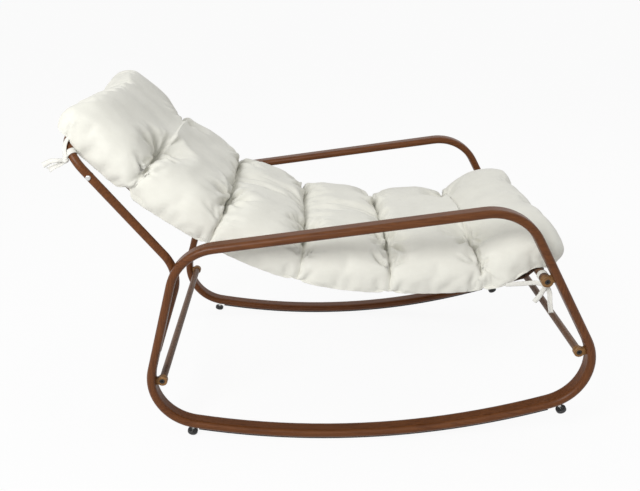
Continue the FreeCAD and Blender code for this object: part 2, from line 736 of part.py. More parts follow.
def lug(label, place, side):
    """A round boss with a short neck, welded to the inner face of the loop, bored for a sunk bolt."""
    point, out, in_bend = LUGS[place]
    diameter = "seat_lug_diameter" if place == "seat" else "lug_diameter"
    body = new_body(label)
    face = new_sketch(body, "XY_Plane", label + "_boss_outline")
    circle(face, Vector(0, 0, 0), diameter + " / 2", size(diameter) / 2)
    boss = pad(body, face, label + "_boss", "lug_thickness", reverse=True)
    soften(body, boss, label + "_rim", "Chamfer", "lug_chamfer",
           lambda edge: is_rim(edge, size(diameter) / 2, 0.0))
    neck = new_sketch(body, "XY_Plane", label + "_neck_outline")
    half = size("lug_neck") / 2
    end = size("lug_offset") - size("tube_depth") / 2 - size("weld_gap")
    middle = Vector(size("lug_offset") - size("bend_radius"), 0, 0)
    bend = size("bend_radius") - size("tube_depth") / 2 - size("weld_gap")
    if in_bend:
        end = middle.x + sqrt(bend ** 2 - half ** 2)
    corners = [Vector(0, -half, 0), Vector(end, -half, 0), Vector(end, half, 0), Vector(0, half, 0)]
    neck.addGeometry(Part.LineSegment(corners[0], corners[1]), False)
    if in_bend:
        swing = atan2(half, end - middle.x)
        neck.addGeometry(arc(middle, bend, -swing, swing), False)
    else:
        neck.addGeometry(Part.LineSegment(corners[1], corners[2]), False)
    neck.addGeometry(Part.LineSegment(corners[2], corners[3]), False)
    neck.addGeometry(Part.LineSegment(corners[3], corners[0]), False)
    for number in range(4):
        neck.addConstraint(Constraint("Coincident", number, 2, (number + 1) % 4, 1))
    neck.addConstraint(Constraint("Horizontal", 0))
    neck.addConstraint(Constraint("Horizontal", 2))
    neck.addConstraint(Constraint("Symmetric", 0, 1, 2, 2, -1))
    neck.addConstraint(Constraint("PointOnObject", 0, 1, -2))
    bind(neck, "DistanceY", 0, 1, 2, 2, 2 * half, text="lug_neck")
    if in_bend:
        bind(neck, "Radius", 1, bend, text="bend_radius - tube_depth / 2 - weld_gap")
        bind(neck, "DistanceX", -1, 1, 1, 3, middle.x, text="lug_offset - bend_radius")
    else:
        neck.addConstraint(Constraint("Vertical", 1))
        bind(neck, "DistanceX", -1, 1, 0, 2, end, text="lug_offset - tube_depth / 2 - weld_gap")
    pad(body, neck, label + "_neck", "lug_thickness", reverse=True)
    doc.recompute()
    bore = new_sketch(body, "XY_Plane", label + "_bore_outline")
    circle(bore, Vector(0, 0, 0), "bolt_diameter / 2 + bolt_clearance",
           size("bolt_diameter") / 2 + size("bolt_clearance"))
    pocket(body, bore, label + "_bore")
    sink = new_sketch(body, "XY_Plane", label + "_counterbore_outline")
    circle(sink, Vector(0, 0, 0), "bolt_head / 2 + counterbore_clearance",
           size("bolt_head") / 2 + size("counterbore_clearance"))
    pocket(body, sink, label + "_counterbore", text="counterbore_depth")
    face_centre = in_side_view(point, side * LUG_FACE)
    body.Placement = frame_at(face_centre, in_side_view(out), Vector(0, side, 0))
    return body


def cross_tube(label, place, diameter, wall):
    """A round tube across the chaise, between the two lugs of one place."""
    point, out, in_bend = LUGS[place]
    body = new_body(label)
    outline = new_sketch(body, "XZ_Plane", label + "_outline")
    circle(outline, Vector(0, 0, 0), f"{diameter} / 2", size(diameter) / 2)
    circle(outline, Vector(0, 0, 0), f"{diameter} / 2 - {wall}", size(diameter) / 2 - size(wall))
    pad(body, outline, label + "_tube", "loop_spacing - 2 * lug_thickness", middle=True)
    body.Placement = Placement(in_side_view(point), Rotation())
    return body


def socket_bolt(name, place, side):
    """A low-head bolt with a hexagon socket, sunk in the lug and run into the tube's insert."""
    point, out, in_bend = LUGS[place]
    body = new_body(name)
    head = new_sketch(body, "XY_Plane", name + "_head_outline")
    circle(head, Vector(0, 0, 0), "bolt_head / 2", size("bolt_head") / 2)
    cap = pad(body, head, name + "_head", "bolt_head_height")
    soften(body, cap, name + "_head_edge", "Chamfer", "bolt_head_chamfer",
           lambda edge: is_rim(edge, size("bolt_head") / 2, size("bolt_head_height")))
    shank = new_sketch(body, "XY_Plane", name + "_shank_outline")
    circle(shank, Vector(0, 0, 0), "bolt_diameter / 2", size("bolt_diameter") / 2)
    pad(body, shank, name + "_shank", "bolt_grip", reverse=True)
    doc.recompute()
    socket = body.newObject("Sketcher::SketchObject", name + "_socket_outline")
    socket.AttachmentSupport = [(origin_plane(body, "XY_Plane"), "")]
    socket.MapMode = "FlatFace"
    socket.AttachmentOffset = Placement(Vector(0, 0, size("bolt_head_height")), Rotation())
    socket.setExpression("AttachmentOffset.Base.z", bound("bolt_head_height"))
    hexagon(socket, size("socket_width") / 2, "socket_width / 2")
    pocket(body, socket, name + "_socket", text="socket_depth")
    seat = LUG_FACE - size("counterbore_depth")
    body.Placement = frame_at(in_side_view(point, side * seat), in_side_view(out), Vector(0, side, 0))
    return body


def tube_insert(name, place, side, diameter, wall):
    """A threaded plug pressed into one end of a cross tube."""
    point, out, in_bend = LUGS[place]
    body = new_body(name)
    outline = new_sketch(body, "XY_Plane", name + "_outline")
    circle(outline, Vector(0, 0, 0), f"{diameter} / 2 - {wall} - fit_clearance",
           size(diameter) / 2 - size(wall) - size("fit_clearance"))
    circle(outline, Vector(0, 0, 0), "bolt_diameter / 2 + fit_clearance",
           size("bolt_diameter") / 2 + size("fit_clearance"))
    pad(body, outline, name + "_plug", "insert_length", reverse=True)
    end = LUG_FACE - size("lug_thickness")
    body.Placement = frame_at(in_side_view(point, side * end), in_side_view(out), Vector(0, side, 0))
    return body


# Feet: a pad on a threaded stem, screwed into an insert under each end of the rockers

def foot_frame(place, side, distance):
    """A placement on a foot's axis, this far from the loop's centre line, Z pointing up the stem."""
    point, away = foot_axis(place)
    at = in_side_view(point + away * distance, side * LUG_FACE)
    return frame_at(at, Vector(0, 1, 0), in_side_view(away * -1))


def foot_pad(label, place, side):
    """A round pad with a rounded tread edge and a collar round the stem."""
    body = new_body(label)
    outline = new_sketch(body, "XY_Plane", label + "_outline")
    circle(outline, Vector(0, 0, 0), "foot_pad_diameter / 2", size("foot_pad_diameter") / 2)
    disc = pad(body, outline, label + "_disc", "foot_pad_height")
    radius, height = size("foot_pad_diameter") / 2, size("foot_pad_height")
    soften(body, disc, label + "_edges", "Fillet", "foot_pad_rounding",
           lambda edge: is_rim(edge, radius, 0.0) or is_rim(edge, radius, height))
    body.Placement = foot_frame(place, side, size(f"foot_reach_{place}") + size("foot_pad_height") / 2)
    return body


def foot_stem(label, place, side):
    """A threaded stem from the pad into the tube."""
    body = new_body(label)
    outline = new_sketch(body, "XY_Plane", label + "_outline")
    circle(outline, Vector(0, 0, 0), "foot_stem_diameter / 2", size("foot_stem_diameter") / 2)
    rod = pad(body, outline, label + "_rod",
              f"foot_reach_{place} - foot_pad_height / 2 - tube_depth / 2 + foot_stem_entry")
    length = (size(f"foot_reach_{place}") - size("foot_pad_height") / 2
              - size("tube_depth") / 2 + size("foot_stem_entry"))
    radius = size("foot_stem_diameter") / 2
    soften(body, rod, label + "_tip", "Chamfer", "foot_stem_chamfer",
           lambda edge: is_rim(edge, radius, length))
    body.Placement = foot_frame(place, side, size(f"foot_reach_{place}") - size("foot_pad_height") / 2)
    return body


def foot_insert(name, place, side):
    """A flanged threaded insert, set in the underside of the tube."""
    body = new_body(name)
    flange = new_sketch(body, "XY_Plane", name + "_flange_outline")
    bore = size("foot_stem_diameter") / 2 + size("fit_clearance")
    bore_text = "foot_stem_diameter / 2 + fit_clearance"
    circle(flange, Vector(0, 0, 0), "foot_flange_diameter / 2", size("foot_flange_diameter") / 2)
    circle(flange, Vector(0, 0, 0), bore_text, bore)
    pad(body, flange, name + "_flange", "foot_flange_thickness", reverse=True)
    barrel = new_sketch(body, "XY_Plane", name + "_barrel_outline")
    circle(barrel, Vector(0, 0, 0), "foot_insert_diameter / 2", size("foot_insert_diameter") / 2)
    circle(barrel, Vector(0, 0, 0), bore_text, bore)
    pad(body, barrel, name + "_barrel", "foot_insert_length")
    under_bend = size("bend_radius") + size("tube_depth") / 2
    body.Placement = foot_frame(place, side, under_bend + size("weld_gap") - size("bend_radius"))
    return body


# The cloth: sling, cushion and ties, from one line in the side view

class Bend:
    """One arc of the side-view line, from a point and a heading to a point."""

    def __init__(self, start, along, end):
        chord = end - start
        self.start, self.along = start, along
        self.left = Vector(-along.y, along.x, 0)
        side = chord.dot(self.left)
        self.curve = 2 * side / chord.dot(chord)
        if abs(self.curve) < 1e-7:
            self.length = chord.Length
        else:
            self.length = 2 * atan2(side, chord.dot(along)) / self.curve

    def at(self, distance):
        """Point, heading and left-hand normal after this distance."""
        if abs(self.curve) < 1e-7:
            return self.start + self.along * distance, self.along, self.left
        turn = self.curve * distance
        along = self.along * cos(turn) + self.left * sin(turn)
        left = self.left * cos(turn) - self.along * sin(turn)
        point = self.start + (self.left - left) * (1 / self.curve)
        return point, along, left


def two_arcs(start, along, end, end_along):
    """Two tangent arcs that leave one point and reach another with given headings."""
    chord = end - start
    both = along + end_along
    a = 2 * (1 - along.dot(end_along))
    b = 2 * chord.dot(both)
    c = -chord.dot(chord)
    if abs(a) < 1e-9:
        reach = -c / b
    else:
        reach = (-b + sqrt(b * b - 4 * a * c)) / (2 * a)
    middle = (start + along * reach + end - end_along * reach) * 0.5
    first = Bend(start, along, middle)
    return [first, Bend(middle, first.at(first.length)[1], end)]


def smooth_line(knots, first_along=None, last_along=None):
    """Tangent arcs through the knots. Inner headings are those of the circle through three knots."""
    headings = []
    for number in range(1, len(knots) - 1):
        before = knots[number] - knots[number - 1]
        after = knots[number + 1] - knots[number]
        slope = before * (after.Length / before.Length) + after * (before.Length / after.Length)
        headings.append(slope * (1 / slope.Length))
    headings.insert(0, first_along or (knots[1] - knots[0]).normalize())
    headings.append(last_along or (knots[-1] - knots[-2]).normalize())
    line = []
    for number in range(len(knots) - 1):
        line += two_arcs(knots[number], headings[number], knots[number + 1], headings[number + 1])
    return line


def line_at(line, distance):
    """Point, heading and upward normal at a distance along a smooth line."""
    for bend in line:
        if distance <= bend.length:
            return bend.at(distance)
        distance -= bend.length
    return line[-1].at(line[-1].length + distance)


def tangent_from(point, centre, radius, side):
    """The point where a line from the point touches a circle, on the wanted side."""
    away = centre - point
    distance = away.Length
    swing = acos(radius / distance) * side
    return centre + heading(angle_of(away * -1) + swing) * radius


SEAT_RAIL = LUGS["seat"][0]
SHEET = size("sling_thickness")
HEAD_SLEEVE = size("upright_diameter") / 2 + size("sleeve_gap")
SEAT_SLEEVE = size("seat_rail_diameter") / 2 + size("sleeve_gap")
KNOTS = [
    Vector(-size("lumbar_x"), size("lumbar_height"), 0),
    Vector(0, size("hip_height"), 0),
    Vector(size("seat_x"), size("seat_height"), 0),
    Vector(size("thigh_x"), size("thigh_height"), 0),
]


def sling_line():
    """The middle of the sling's cloth, from the head rail's sleeve to the seat rail's."""
    head = tangent_from(KNOTS[0], HEAD_RAIL, HEAD_SLEEVE + SHEET / 2, 1)
    seat = tangent_from(KNOTS[-1], SEAT_RAIL, SEAT_SLEEVE + SHEET / 2, 1)
    last = (seat - KNOTS[-1]).normalize()
    return smooth_line([head] + KNOTS + [seat], last_along=last)


SLING = sling_line()


def curve_edge(bend, offset):
    """The bend's edge, moved along its upward normal."""
    ends = [bend.at(share * bend.length) for share in (0.0, 0.5, 1.0)]
    points = [in_side_view(point + left * offset) for point, along, left in ends]
    if abs(bend.curve) < 1e-7:
        return Part.LineSegment(points[0], points[2]).toShape()
    return Part.Arc(*points).toShape()


def feature(label, shape):
    """A sub-part whose shape is worked out from the sheet's values."""
    item = doc.addObject("Part::Feature", label)
    item.Label = label
    item.Shape = shape
    item.Placement = Placement()
    return item


def sling(label):
    """The cloth panel with its two sewn sleeves, narrower where it meets the head rail's bends."""
    upper = [curve_edge(bend, SHEET / 2) for bend in SLING]
    lower = [curve_edge(bend, -SHEET / 2) for bend in SLING]
    caps = [
        Part.LineSegment(lower[0].Vertexes[0].Point, upper[0].Vertexes[0].Point).toShape(),
        Part.LineSegment(upper[-1].Vertexes[-1].Point, lower[-1].Vertexes[-1].Point).toShape(),
    ]
    outline = Part.Wire(Part.__sortEdges__(upper + lower + caps))
    width = size("sling_width")
    panel = Part.Face(outline)
    panel.translate(Vector(0, -width / 2, 0))
    panel = panel.extrude(Vector(0, width, 0))
    head_width = size("sling_head_width")
    for side in (1, -1):
        panel = panel.cut(corner_wedge(side, head_width / 2, width / 2))
    sleeves = [
        sleeve(HEAD_RAIL, HEAD_SLEEVE, head_width),
        sleeve(SEAT_RAIL, SEAT_SLEEVE, width),
    ]
    return feature(label, panel.fuse(sleeves).removeSplitter().Solids[0])


def sleeve(centre, radius, width):
    """A tube of cloth round a rail."""
    start = in_side_view(centre, -width / 2)
    across = Vector(0, 1, 0)
    tube = Part.makeCylinder(radius + SHEET, width, start, across)
    return tube.cut(Part.makeCylinder(radius, width, start, across))


def corner_wedge(side, near, far):
    """The cut-away corner of the panel, under a bend of the head rail."""
    margin = 40.0
    start = HEAD_RAIL + BACK_ALONG * margin
    end = HEAD_RAIL - BACK_ALONG * size("sling_taper")
    corners = [
        in_side_view(start, side * near),
        in_side_view(HEAD_RAIL, side * near),
        in_side_view(end, side * far),
        in_side_view(end, side * (far + margin)),
        in_side_view(start, side * (far + margin)),
    ]
    face = Part.Face(Part.makePolygon(corners + corners[:1]))
    out = in_side_view(BACK_OUT)
    face.translate(out * -margin)
    return face.extrude(out * (2 * margin))


def cushion_line():
    """The cushion's underside in the side view, from its head end to its front end."""
    lift = SHEET / 2 + size("cushion_gap")
    over_seat = SEAT_SLEEVE + SHEET + size("cushion_crest_gap")
    head_point, head_along, head_normal = SLING[0].at(0.0)
    start = head_point + head_normal * lift - head_along * size("cushion_head_overhang")
    head = [Bend(start, head_along, head_point + head_normal * lift)]
    lying = []
    for bend in SLING[:-2]:
        point, along, normal = bend.at(0.0)
        end = bend.at(bend.length)
        lying.append(Bend(point + normal * lift, along, end[0] + end[2] * lift))
    leave, leave_along, leave_normal = SLING[-3].at(SLING[-3].length)
    crest = SEAT_RAIL + Vector(0, over_seat, 0)
    front = crest + Vector(size("cushion_front_overhang"), -size("cushion_front_droop"), 0)
    droop = heading(-radians(size("cushion_front_slope")))
    level = heading(radians(size("cushion_crest_slope")))
    rise = two_arcs(leave + leave_normal * lift, leave_along, crest, level)
    return head + lying + rise + two_arcs(crest, level, front, droop)


def cushion_section(line, distance, half, thickness):
    """One cross-section: a flat underside, rounded sides drawn in at the foot, and a crowned top."""
    point, along, normal = line_at(line, distance)
    origin = in_side_view(point)
    up = in_side_view(normal)

    def at(across, height):
        return origin + Vector(0, across, 0) + up * height

    shoulder = half - SHOULDER[0] * thickness
    right_half = [
        at(half - FOOT_INSET * thickness, 0),
        at(half - LOWER_SIDE[0] * thickness, LOWER_SIDE[1] * thickness),
        at(half, SIDE_HEIGHT * thickness),
        at(half - UPPER_SIDE[0] * thickness, UPPER_SIDE[1] * thickness),
        at(shoulder, SHOULDER[1] * thickness),
        at(shoulder / 2, (1 - CROWN_DROP) * thickness),
        at(0, thickness),
    ]
    left_half = [Vector(point.x, -point.y, point.z) for point in reversed(right_half)]
    round_it = right_half + left_half[1:]
    arcs = [Part.Arc(*round_it[number:number + 3]) for number in range(0, len(round_it) - 1, 2)]
    underside = Part.LineSegment(round_it[-1], round_it[0])
    return Part.Wire([underside.toShape()] + [side_arc.toShape() for side_arc in arcs])


def cushion(label):
    """The pad: cells between sewn cross channels, each crowned, with rounded ends."""
    line = cushion_line()
    length = sum(bend.length for bend in line)
    cell = length / CUSHION_CELLS
    half = size("cushion_width") / 2
    full, channel = size("cushion_thickness"), size("channel_thickness")
    end_thickness = size("cushion_end_thickness")
    draw_in = size("channel_draw_in")
    sections = []
    for number in range(CUSHION_CELLS):
        in_front = number == CUSHION_CELLS - 1
        crown = size("front_cell_thickness") if in_front else full
        for step in FRONT_CELL_STEPS if in_front else CELL_STEPS:
            rise = sqrt(1 - (2 * step - 1) ** 4)
            low = channel
            if (number == 0 and step < 0.5) or (in_front and step > 0.5):
                low = end_thickness
            thickness = low + (crown - low) * rise
            inset = draw_in * (1 - rise)
            sections.append(cushion_section(line, (number + step) * cell, half - inset, thickness))
    sections.append(cushion_section(line, length, half - draw_in, end_thickness))
    return feature(label, Part.makeLoft(sections, True, True))


def tie(label, centre, along, tube, side, tails):
    """A cloth strip tied round a rail, with a knot under it and two hanging tails."""
    width, thick, gap = size("tie_width"), size("tie_thickness"), size("tie_gap")
    inner = tube / 2 + gap
    start = centre - along * (width / 2)
    knot_radius = size("tie_knot_radius")
    down = (along * along.z - Vector(0, 0, 1)).normalize()
    middle = centre + down * (inner + thick + knot_radius / 2)
    length = size("tie_tail")
    pieces = [Part.makeSphere(knot_radius, middle)]
    for tilt in tails:
        strip = Part.makeBox(thick, width, length, Vector(-thick / 2, -width / 2, -length))
        tilted = Rotation(Vector(0, 1, 0), tilt)
        twisted = Rotation(Vector(0, 0, 1), side * size("tie_twist"))
        strip.Placement = Placement(middle, tilted.multiply(twisted))
        pieces.append(strip)
    shape = Part.makeCylinder(inner + thick, width, start, along).fuse(pieces)
    shape = shape.cut(Part.makeCylinder(inner, 3 * width, start - along * width, along))
    return feature(label, max(shape.Solids, key=lambda solid: solid.Volume))


def head_tie(label, side):
    """A tie round the bend of the head rail."""
    bend = size("head_rail_bend")
    swing = radians(size("head_tie_swing"))
    on_bend = HEAD_RAIL - BACK_ALONG * (bend * (1 - sin(swing)))
    across = side * (UPRIGHT_Y - bend * (1 - cos(swing)))
    along = in_side_view(BACK_ALONG * cos(swing)) - Vector(0, side * sin(swing), 0)
    centre = in_side_view(on_bend, across)
    return tie(label, centre, along.normalize(), size("upright_diameter"), side, TAIL_TILTS["head"])


def front_tie(label, side):
    """A tie round the seat rail, beside its lug."""
    across = side * (LUG_FACE - size("lug_thickness") - size("tie_width"))
    centre = in_side_view(SEAT_RAIL, across)
    return tie(label, centre, Vector(0, 1, 0), size("seat_rail_diameter"), side, TAIL_TILTS["front"])


# Build every sub-part

nodes = []
for hand, side in SIDES.items():
    nodes.append(side_loop(f"{hand}_side_loop", side))
    nodes.append(rocker_strip(f"{hand}_rocker_strip", side))
    nodes.append(back_upright(f"{hand}_back_upright", side))
    for place in ("rear", "front", "seat"):
        nodes.append(lug(f"{hand}_{place}_lug", place, side))
    for place in ("rear", "front"):
        nodes.append(foot_pad(f"{place}_{hand}_foot_pad", place, side))
        nodes.append(foot_stem(f"{place}_{hand}_foot_stem", place, side))
nodes.append(head_rail("head_rail"))
nodes.append(cross_tube("rear_crossbar", "rear", "crossbar_diameter", "crossbar_wall"))
nodes.append(cross_tube("front_crossbar", "front", "crossbar_diameter", "crossbar_wall"))
nodes.append(cross_tube("seat_rail", "seat", "seat_rail_diameter", "seat_rail_wall"))

both = list(SIDES.items())
nodes.append(group("crossbar_bolts", [
    socket_bolt(f"{place}_{hand}_bolt", place, side)
    for place in ("rear", "front", "seat") for hand, side in both]))
nodes.append(group("crossbar_inserts", [
    tube_insert(f"{place}_{hand}_insert", place, side, "crossbar_diameter", "crossbar_wall")
    for place in ("rear", "front") for hand, side in both]))
nodes.append(group("seat_rail_inserts", [
    tube_insert(f"seat_{hand}_insert", "seat", side, "seat_rail_diameter", "seat_rail_wall")
    for hand, side in both]))
nodes.append(group("head_rail_bolts", [head_bolt(f"{hand}_head_bolt", side) for hand, side in both]))
nodes.append(group("head_rail_nuts", [cap_nut(f"{hand}_head_nut", side) for hand, side in both]))
nodes.append(group("upright_end_plugs", [end_plug(f"{hand}_end_plug", side) for hand, side in both]))
nodes.append(group("foot_inserts", [
    foot_insert(f"{place}_{hand}_foot_insert", place, side)
    for place in ("rear", "front") for hand, side in both]))

nodes.append(sling("sling"))
nodes.append(cushion("cushion"))
for hand, side in both:
    nodes.append(head_tie(f"{hand}_head_tie", side))
    nodes.append(front_tie(f"{hand}_front_tie", side))
doc.recompute()

# Check every object and write the sub-parts

failed = [item.Label for item in doc.Objects if "Invalid" in item.State or "Error" in item.State]
if failed:
    raise SystemExit("failed objects: " + ", ".join(failed))
for node in nodes:
    if node.Shape.isNull() or not node.Shape.isValid() or not node.Shape.Solids:
        raise SystemExit("bad shape: " + node.Label)
os.makedirs("parts", exist_ok=True)
for node in nodes:
    node.Shape.exportStep(f"parts/{node.Label}.step")
    print(f"{node.Label:28s} {len(node.Shape.Solids)} solids {node.Shape.Volume:12.1f} mm3")
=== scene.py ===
"""Looks of a rocking chaise lounge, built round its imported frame.

Metres. X runs from the head end to the foot end, Y to the sitter's left, Z up.
"""
import math
from collections import namedtuple

import bpy
import numpy as np
from mathutils import Matrix, Vector


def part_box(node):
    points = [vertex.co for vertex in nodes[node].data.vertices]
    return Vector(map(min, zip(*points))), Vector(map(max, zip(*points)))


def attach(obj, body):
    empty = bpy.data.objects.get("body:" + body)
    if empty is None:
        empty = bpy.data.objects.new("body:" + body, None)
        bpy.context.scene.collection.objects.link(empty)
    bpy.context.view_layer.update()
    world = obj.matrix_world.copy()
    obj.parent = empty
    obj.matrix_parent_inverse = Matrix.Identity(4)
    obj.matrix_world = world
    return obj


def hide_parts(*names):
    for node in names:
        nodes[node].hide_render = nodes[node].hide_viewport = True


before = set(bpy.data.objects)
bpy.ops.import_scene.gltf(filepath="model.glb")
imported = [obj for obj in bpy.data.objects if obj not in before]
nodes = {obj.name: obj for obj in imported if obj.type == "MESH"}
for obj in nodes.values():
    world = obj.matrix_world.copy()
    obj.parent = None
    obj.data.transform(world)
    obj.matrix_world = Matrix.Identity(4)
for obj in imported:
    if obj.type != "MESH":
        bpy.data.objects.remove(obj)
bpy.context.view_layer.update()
scene = bpy.context.scene
scene.view_settings.view_transform = "Standard"

MM = 0.001
SIDES = {"right": -1, "left": 1}

# Camera: where the picture was taken from, as a pinhole camera in pixels
CAMERA_PLACE = (-0.0584, -1.7753, 1.1475)
CAMERA_DOWN = math.radians(17.432)
CAMERA_TURN = math.radians(-0.409)
FOCAL_PIXELS = 700.0
PICTURE_WIDTH = 640.0
PICTURE_HEIGHT = 491.0
AXIS_PIXEL = (291.5, 170.0)
SENSOR = 36.0

# Light and floor
LAMPS = (
    ("key", (-1.5, -2.5, 2.4), 84.0),
    ("fill", (1.8, 1.6, 2.6), 14.0),
)
LAMP_TARGET = (0.0, 0.0, 0.4)
LAMP_WIDTH = 1.6
WORLD_LIGHT = 0.54
FLOOR_REACH = 30.0
FLOOR_GREY = 0.80
FLOOR_SHOWN_WHITE = 0.92

# The cushion's cells, ends and tufts
CELLS = 6
CUSHION_WIDTH = 528 * MM
CELL_CROWN = 112 * MM
SEAM_THICKNESS = 86 * MM
SOFT_SEAM_THICKNESS = 100 * MM
FRONT_CROWN = 96 * MM
HEAD_CROWN = 100 * MM
END_THICKNESS = 50 * MM
ARCH_POWER = 3.4
SHOULDER_DROP = 0.22
SHOULDER_POWER = 5
HEAD_TRIM = 10 * MM
FRONT_TRIM = 40 * MM
FRONT_DROOP = 34 * MM
FRONT_DROOP_SPAN = (0.542, 0.635)
FRONT_WIDENING = 12 * MM
FRONT_WIDENING_SPAN = (0.80, 0.90)
FRONT_END_X = 0.5
TUFT_ACROSS = 155 * MM
TUFT_THICKNESS = 50 * MM
TUFT_REACH = 34 * MM
TUFT_BLEND = 1.6
TUFT_DIMPLE = 0.16
TUFT_DIMPLE_SPAN = 0.6

# The cushion's seams, sides and grid
SEAM_DRAW_IN = 7 * MM
SEAM_CREASE = 11 * MM
CREASE_WIDTH = 5.5 * MM
CREASE_HEIGHTS = (20 * MM, 50 * MM)
SOFT_CREASE_LOSS = 0.9
SOFT_CREASE_SPAN = (-0.01, 0.03)
CORNER_ROUND = 30 * MM
CELL_ROWS = 24
CUSHION_COLUMNS = 64
ROW_CROWDING = 0.55
SIDE_ROWS = 10
SIDE_RADIUS = 24 * MM
SIDE_POWER = 0.8
UNDERSIDE_INSET = 9 * MM
UNDERSIDE_GAP = 0.0006
LIP_DROP = 6 * MM
HEAD_LIP_DROP = 16 * MM
LIP_CHANGE_SPAN = (0.20, 0.36)
LIP_CLEARANCE = (0.5 * MM, 3.5 * MM)
HEAD_RAIL_SPAN = (0.05, 0.09)
SEAT_RAIL_SPAN = (0.018, 0.04)

# The cushion's stuffing: its case is drawn thinner and narrower first, and swells under pressure
FULLNESS = 0.86
SHRINK = 0.008
PRESSURE = 5.0
CLOTH_GROWTH = 0.12
SWELL_LIMIT = 0.024
LOOSE_SEAM_GAP = 0.6 * TUFT_REACH
STUFFING_STEPS = 20
CASE_CLOTH = {
    "quality": 5,
    "mass": 0.3,
    "tension_stiffness": 15.0,
    "compression_stiffness": 5.0,
    "shear_stiffness": 5.0,
    "bending_stiffness": 0.1,
}

# The cushion's folds. Turns are in radians, reaches in metres, widths and depths in millimetres.
Folds = namedtuple("Folds", "turn reach width depth bend")
TUFT_FOLDS = Folds(0.28, (0.05, 0.105), (3.5, 5.5), (6.0, 12.0), 4.0)
SEAM_END_FOLDS = Folds(0.2, (0.045, 0.085), (3.0, 4.5), (4.5, 10.0), 5.0)
FOLDS_AT_TUFT = 9
FIRST_TUFT_FOLD = (0.15, 0.6)
FOLDS_AT_SEAM_END = 6
SEAM_END_FAN = 1.25
SEAM_END_ACROSS = 0.272
FOLD_SPREADING = 1.2
FOLD_START = (-0.1, 0.12)
FOLD_FADING = 0.35
RIDGE_SHARE = 0.55
RIDGE_PLACE = 1.9
FOLD_SEAM_CLEARANCE = (2 * MM, 9 * MM)
FOLD_HEIGHTS = (4 * MM, 22 * MM)
WAVE_DEPTH = 1.6 * MM
FIRST_WAVE = (31, 17, 0.0)
SECOND_WAVE = (-23, 43, 1.3)
SIDE_START = 0.225
SIDE_TURN = 0.03
EDGE_HEIGHT = 0.085
EDGE_DEPTH = 0.09
POINT_BLOCKS = 60

# The side-view line under the cushion
LINE_SAMPLES = 500
HEADING_SAMPLES = 31
SIDE_VIEW_RAYS = 700
RAY_ACROSS = 0.003
BOX_MARGIN = 0.0005

# The sling
SLING_WIDTH = 500 * MM
SLING_HEAD_WIDTH = 410 * MM
SLING_TAPER = 80 * MM
SLING_THICKNESS = 1.8 * MM
SLING_EDGE_GAP = 0.5 * MM
SLING_DEPTH = 1.2 * MM
SLING_COLUMNS = 41
PANEL_SAMPLES = 260
PANEL_END_SAMPLES = 6
PANEL_HEAD_GAP = 0.006
PANEL_SEAT_GAP = 0.004
RAIL_RADIUS = 10 * MM
SEAT_RAIL_RADIUS = 11 * MM
SLEEVE_OUTSIDE = RAIL_RADIUS + 2.7 * MM
CLOTH_RADIUS_GAP = 1.5 * MM
SLEEVE_TURN = 1.75 * math.pi
SLEEVE_SAMPLES = 40
BACK_ANGLE = math.radians(39.4)

# The ties. Points are from the rail's middle (strap, knot) or from the knot (tails), as X, outwards, Z.
# A knot's loop and cross are given by radius, turns, advance in a turn and width.
TIE_WIDTH = 13 * MM
TIE_THICKNESS = 1.0 * MM
TIE_SAMPLES = 24
TIE_RAIL_GAP = 1.4 * MM
TIE_TURNS = 1.9
TIE_RAIL_WIDTH = 0.8 * TIE_WIDTH
TURN_ADVANCE = 3 * MM
HELIX_SAMPLES = 28
RIBBON_COLUMNS = 7
HEAD_BEND = 75 * MM
HEAD_TIE_SWING = math.radians(35.0)
UPRIGHT_ACROSS = 284.7 * MM
FRONT_TIE_ACROSS = 0.285
CROSS_START = (0, 1, 0.4)
KNOT_CUP = 1 * MM
HEAD_KNOT = (-0.010, 0.012, -0.010)
HEAD_STRAP = ((0.004, -0.030, 0.040), (-0.012, -0.014, 0.030), (-0.014, 0.004, 0.012))
HEAD_UPPER_TAIL = ((-0.018, 0.008, 0.001), (-0.034, 0.004, -0.002), (-0.050, 0.008, -0.010))
HEAD_LOWER_TAIL = ((-0.012, 0.006, -0.008), (-0.026, 0.010, -0.013), (-0.040, 0.005, -0.022))
HEAD_TIE_OUTWARD = (-0.25, 1.0, 0.35)
HEAD_LOOP_AXIS = (-0.8, 0.2, -0.5)
HEAD_LOOP_START = (0, 1, 0.4)
HEAD_CROSS_AXIS = (0.5, 0.3, -0.8)
HEAD_STRAP_WIDTH = 0.75 * TIE_WIDTH
HEAD_TAIL_WIDTHS = (0.55, 1.0)
LOWER_TAIL_TILT = (1, 1, -0.6)
FRONT_KNOT = (0.009, 0.002, -0.021)
FRONT_STRAP = ((-0.080, -0.019, -0.030), (-0.045, -0.017, -0.027), (-0.012, -0.010, -0.021))
FRONT_SHORT_TAIL = ((-0.008, 0.004, -0.011), (-0.018, 0.008, -0.026), (-0.027, 0.006, -0.040))
FRONT_LONG_TAIL = ((0.007, 0.005, -0.018), (0.010, 0.008, -0.044), (0.017, 0.004, -0.071))
LONG_TAIL_SAMPLES = 28
FRONT_TIE_OUTWARD = (-0.2, 1.0, 0.15)
FRONT_LOOP_AXIS = (-0.3, 0.2, -1.0)
FRONT_LOOP_START = (0, 1, 0.2)
FRONT_CROSS_AXIS = (0.9, 0.3, -0.3)
FRONT_TIE_WIDTH = 0.85 * TIE_WIDTH
KNOT_LOOP = (5.0 * MM, 1.2, 2 * MM, 0.7 * TIE_WIDTH)
KNOT_CROSS = (4.6 * MM, 1.1, 1 * MM, 0.6 * TIE_WIDTH)


# Meshes from grids

def grid_faces(rows, columns, first=0):
    """Quads of a grid whose point (row, column) is first + row * columns + column."""
    row, column = np.meshgrid(np.arange(rows - 1), np.arange(columns - 1), indexing="ij")
    start, above = row * columns + column, (row + 1) * columns + column
    quads = np.stack([start, start + 1, above + 1, above], axis=-1)
    return quads.reshape(-1, 4) + first


